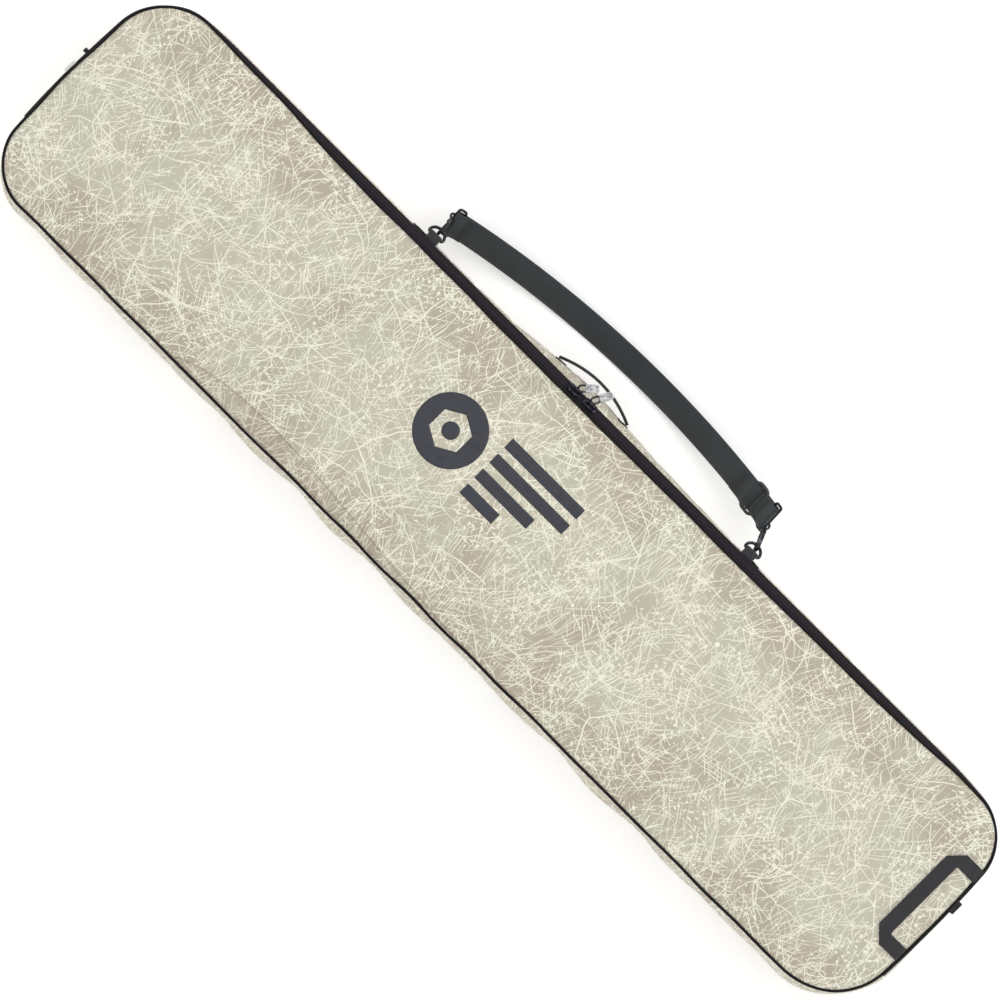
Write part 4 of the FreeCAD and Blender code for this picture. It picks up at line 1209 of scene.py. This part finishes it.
STRAP_ANGLE, STRAP_RADIUS, STRAP_OFFSET = strap_numbers("shoulder_strap")
STRAP_FIRST, STRAP_LAST = STRAP_ANGLE.min(), STRAP_ANGLE.max()
STRAP_LINE = (STRAP_RADIUS.min() + STRAP_RADIUS.max()) / 2
STRAP_MIDDLE = (STRAP_OFFSET.min() + STRAP_OFFSET.max()) / 2
STRAP_WIDTH = STRAP_OFFSET.max() - STRAP_OFFSET.min()
STITCH_OFFSETS = np.arange(-15, 16, 5.0) * MM     # of the stitches in a row, across the strap
LOOP_BEND = 3.2 * MM            # radius of the webbing's turn round the metal loops


def arc_frame(angle):
    """Directions outwards from the arc's centre and along the arc."""
    return (DOWN * math.cos(angle) + AHEAD * math.sin(angle),
            AHEAD * math.cos(angle) - DOWN * math.sin(angle))


def arc_place(angle, radius, offset=0.0):
    """A point on the strap's arc."""
    return ARC_CENTRE + ACROSS * (STRAP_MIDDLE + offset) + radius * arc_frame(angle)[0]


def sewn_end(end, sign):
    """The webbing turned back round the metal loop at one end of the strap, and sewn down under it."""
    centre = arc_place(end, STRAP_LINE - LOOP_BEND)
    out, ahead = arc_frame(end)
    turned = [centre + LOOP_BEND * (out * math.cos(t) + sign * ahead * math.sin(t))
              for t in np.linspace(0, math.pi, 12)[1:]]
    under, close = STRAP_LINE - 2 * LOOP_BEND, STRAP_LINE - WEBBING * 1.05
    lap = 24 * MM / STRAP_LINE
    return turned + [arc_place(end - sign * lap * share, under + (close - under) * min(1, 1.6 * share))
                     for share in np.linspace(0, 1, 10)[1:]]


def shoulder_strap():
    """The main length with its two sewn ends."""
    reach = 2.6 * MM / STRAP_LINE
    first, last = STRAP_FIRST - reach, STRAP_LAST + reach
    main = [arc_place(angle, STRAP_LINE) for angle in np.linspace(first, last, 150)]
    path = sewn_end(first, -1)[::-1] + main + sewn_end(last, 1)
    piece = band("shoulder_strap_webbing", path, ACROSS, STRAP_WIDTH, WEBBING, STRAP)
    settle_on_body(piece, "strap", "webbing", "shoulder_strap")


def stitches(name, angles, radius, body):
    """Rows of short raised threads across the strap, each a six-sided spindle."""
    length, thick = 2.2 * MM, 0.75 * MM
    hexagon = [thick * (AHEAD * math.cos(t) - DOWN * math.sin(t)) for t in np.arange(6) * math.pi / 3]
    vertices, faces = [], []
    for angle in angles:
        for offset in STITCH_OFFSETS:
            centre = arc_place(angle, radius, offset)
            add_prism(vertices, faces, [
                [centre + ACROSS * along * length + size * point for point in hexagon]
                for along, size in ((-0.5, 0.35), (-0.25, 1.0), (0.25, 1.0), (0.5, 0.35))
            ])
    settle_on_body(finish_mesh(name, vertices, faces, None, THREAD), body, "webbing")


def strap_stitching():
    """Three rows of stitches at each sewn end of the strap."""
    rows = [STRAP_FIRST + away * MM / STRAP_LINE for away in (12, 15.5, 19)]
    rows += [STRAP_LAST - away * MM / STRAP_LINE for away in (9, 12.5, 16)]
    stitches("strap_stitching", rows, STRAP_LINE - WEBBING * 1.55 - 0.2 * MM, "strap")


def adjuster():
    """Slide adjuster: a rounded frame with a middle bar, and the strap's sewn end turned round that bar."""
    angle = strap_numbers("strap_adjuster")[0]
    middle = (angle.min() + angle.max()) / 2
    half_wide = STRAP_WIDTH / 2 + 3.4 * MM
    level = STRAP_LINE - 1.4 * MM
    outline = rounded(12.5 * MM, half_wide, 8.5 * MM)
    path = [arc_place(middle + x / STRAP_LINE, level, y) for x, y in outline]
    rim = tube("adjuster_frame", path, 2.3 * MM, MOULDED, closed=True, sides=14)
    settle_on_body(rim, "adjuster", "adjuster_plastic", "strap_adjuster")
    line = [arc_place(middle, level, y) for y in np.linspace(-half_wide, half_wide, 9)]
    settle_on_body(tube("adjuster_bar", line, 2.0 * MM, MOULDED), "adjuster", "adjuster_plastic")
    reach = np.linspace(-38, 0, 26) * MM
    over_rim = 2.4 * MM * np.exp(-((reach + 11 * MM) / (6 * MM)) ** 2)
    to_bar = 2.5 * MM * np.clip((reach + 5 * MM) / (5 * MM), 0, 1) ** 2
    radii = STRAP_LINE - (WEBBING * 1.05 + over_rim - to_bar)
    line = [arc_place(middle + along / STRAP_LINE, radius) for along, radius in zip(reach, radii)]
    turned = band("adjuster_webbing", line, ACROSS, STRAP_WIDTH * 0.985, WEBBING, STRAP)
    settle_on_body(turned, "adjuster", "webbing")
    rows = [middle + along * MM / STRAP_LINE for along in (-35, -31.5, -28)]
    stitches("adjuster_stitching", rows, STRAP_LINE - WEBBING * 1.6 - 0.1 * MM, "adjuster")


# ---------------------------------------------------------------- handles and small fabric parts

GUSSET_TREE = tree_of(GUSSET, closed=True)
LENGTHWISE, SIDEWAYS, UPWARDS = (1, 0, 0), (0, 1, 0), (0, 0, 1)


def side_surface(x, z):
    """Y of the gusset's outer surface on the zip side."""
    return GUSSET_TREE.ray_cast(Vector((x, 0.5, z)), Vector((0, -1, 0)))[0].y


def sewn_strip(name, places, level, stand, width, thickness):
    """Webbing sewn along the gusset on the zip side, its middle at height level."""
    path = [(x, side_surface(x, level) + stand, level) for x in places]
    settle_on_body(band(name, path, UPWARDS, width, thickness, HANDLE), "bag", "webbing")


def grab_handle():
    """Doubled webbing bowed off the gusset by the sliders, gathered at its ends, and the patches they are
    sewn to."""
    low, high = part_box("grab_handle")
    middle, half = (low.x + high.x) / 2, (high.x - low.x) / 2
    level, width = (low.z + high.z) / 2, high.z - low.z
    thickness, clear = 4.2 * MM, 0.8 * MM
    crest = high.y - thickness / 2
    places = np.linspace(-half, half, 61)
    ends = [side_surface(middle + place, level) + thickness / 2 + clear for place in (-half, half)]
    wall = np.linspace(*ends, 61)
    bow = wall + (crest - wall) * (1 - (places / half) ** 2)
    for _ in range(3):
        bow[1:-1] = (bow[:-2] + bow[1:-1] + bow[2:]) / 3
    gathered = 1 - 0.65 * np.clip((np.abs(places) / half - 0.62) / 0.3, 0, 1)
    path = at_height(np.column_stack([middle + places, bow]), level)
    piece = band("grab_handle_webbing", path, UPWARDS, width, thickness, HANDLE, gathered)
    settle_on_body(piece, "grab", "webbing", "grab_handle")
    for number, sign in enumerate((-1, 1), start=1):
        patch_places = middle + sign * (half - 6 * MM) + np.linspace(-9, 9, 8) * MM
        sewn_strip(f"grab_patch_{number}", patch_places, level, 0.5 * MM, width, 1.0 * MM)


ANCHOR_STRIPS = {"nose": (-0.347, -0.304), "tail": (0.280, 0.313)}    # where each begins and ends


def strap_anchor(end):
    """Webbing turned round the ring's straight bar and sewn to the gusset, on a longer sewn strip."""
    bar_x, bar_y, bar_z = JOINTS[f"{end}_ring_swing"]["pos_m"]
    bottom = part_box(f"strap_anchor_{end}")[0].z
    bend = 3.4 * MM
    below = [(side_surface(bar_x, z) + 2.4 * MM, z) for z in np.linspace(bottom, bar_z - 9 * MM, 9)]
    round_bar = [(bar_y + bend * math.cos(t), bar_z + bend * math.sin(t))
                 for t in np.radians(range(-80, 81, 16))]
    above = [(side_surface(bar_x, z) + 1.6 * MM, z) for z in (bar_z + 7 * MM, bar_z + 9 * MM)]
    path = [(bar_x, y, z) for y, z in below + round_bar + above]
    tab = band(f"anchor_tab_{end}", path, LENGTHWISE, 19 * MM, WEBBING * 0.8, HANDLE)
    settle_on_body(tab, "bag", "webbing", f"strap_anchor_{end}")
    level = (bottom + bar_z) / 2 + 3 * MM
    places = np.linspace(*ANCHOR_STRIPS[end], 12)
    sewn_strip(f"anchor_strip_{end}", places, level, 0.9 * MM, 30 * MM, 1.5 * MM)


def seam_tab(node, name, stand, thickness, material, slot):
    """A strip folded double and sewn into an end seam."""
    low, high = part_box(node)
    side = math.copysign(1, low.x)
    y, z = (low.y + high.y) / 2, (low.z + high.z) / 2
    wall = abs(GUSSET_TREE.ray_cast(Vector((side, y, z)), Vector((-side, 0, 0)))[0].x)
    bend = thickness * 0.6
    turns = np.linspace(math.pi / 2, -math.pi / 2, 9)
    tip = wall + stand - bend
    root = wall - 2 * MM
    turned = [(tip + bend * math.cos(t), bend * math.sin(t)) for t in turns]
    path = [(side * x, y, z + up) for x, up in [(root, bend), *turned, (root, -bend)]]
    piece = band(name, path, SIDEWAYS, high.y - low.y, thickness, material)
    settle_on_body(piece, body_of(node), slot, node)


def seam_tabs():
    seam_tab("hold_tab_nose", "nose_tab", 6 * MM, 1.5 * MM, HANDLE, "webbing")
    seam_tab("hold_tab_tail", "tail_tab", 6 * MM, 1.5 * MM, HANDLE, "webbing")
    seam_tab("seam_label", "nose_label", 8 * MM, 0.8 * MM, LABEL, "label")


# ---------------------------------------------------------------- CAD parts that stay

HARDWARE = ("d_ring", "swivel_ring", "snap_hook", "hook_gate", "strap_loop")


def casting(node, extra):
    """A metal part of the CAD, as a copy that is a little fuller all over."""
    shape = bmesh.new()
    shape.from_mesh(NODES[node].data)
    bmesh.ops.remove_doubles(shape, verts=shape.verts, dist=0.02 * MM)
    shape.normal_update()
    for vertex, way in [(v, v.normal.copy()) for v in shape.verts]:
        vertex.co += way * extra
    mesh = bpy.data.meshes.new(f"{node}_casting")
    shape.to_mesh(mesh)
    shape.free()
    piece = smooth_object(mesh.name, mesh, GUNMETAL, SHARP_METAL)
    settle_on_body(piece, body_of(node), "hook_metal", node)


# ---------------------------------------------------------------- floor, light and camera

def floor():
    steps = np.linspace(-8, 8, 9)
    grid = np.stack(np.meshgrid(steps, steps), axis=2)
    points = np.dstack([grid, np.full(grid.shape[:2], -0.3 * MM)])
    sheet("floor", points, grid, PAPER)


def area_light(name, place, size, power):
    """A rectangular lamp that points at the top of the bag."""
    data = bpy.data.lights.new(name, "AREA")
    data.shape = "RECTANGLE"
    data.size, data.size_y = size
    data.energy = power
    light = add_object(name, data)
    light.location = place
    light.rotation_mode = "QUATERNION"
    light.rotation_quaternion = (Vector((0, 0, 0.1)) - Vector(place)).to_track_quat("-Z", "Y")


def lights():
    area_light("key", (0.9, 1.9, 3.0), (2.6, 2.0), 24)
    area_light("fill", (-2.2, -1.6, 2.6), (2.5, 2.5), 6)
    world = bpy.data.worlds.new("studio")
    world.use_nodes = True
    background = world.node_tree.nodes["Background"]
    background.inputs["Color"].default_value = (1.0, 1.0, 1.0, 1.0)
    background.inputs["Strength"].default_value = 0.98
    bpy.context.scene.world = world
    bpy.context.scene.view_settings.view_transform = "Standard"


def camera():
    """Straight above the bag, turned so that the bag lies from the upper left to the lower right."""
    frame_width = 1.348
    data = bpy.data.cameras.new("camera")
    data.lens = 300
    data.clip_end = 100
    eye = add_object("camera", data)
    eye.location = (0, 0, RIM_Z + frame_width * data.lens / data.sensor_width)
    eye.rotation_euler = (0, 0, math.radians(45))
    bpy.context.scene.camera = eye


front_cloth()
gusset_cloth()
back_cloth()
cords()
zip_band()
end_handle()
emblem()
shoulder_strap()
strap_stitching()
adjuster()
grab_handle()
seam_tabs()
for tag in ("nose", "tail"):
    zip_slider(tag)
    zip_pull(tag)
    strap_anchor(tag)
    for part in HARDWARE:
        casting(f"{part}_{tag}", 0.45 * MM)
floor()
lights()
camera()
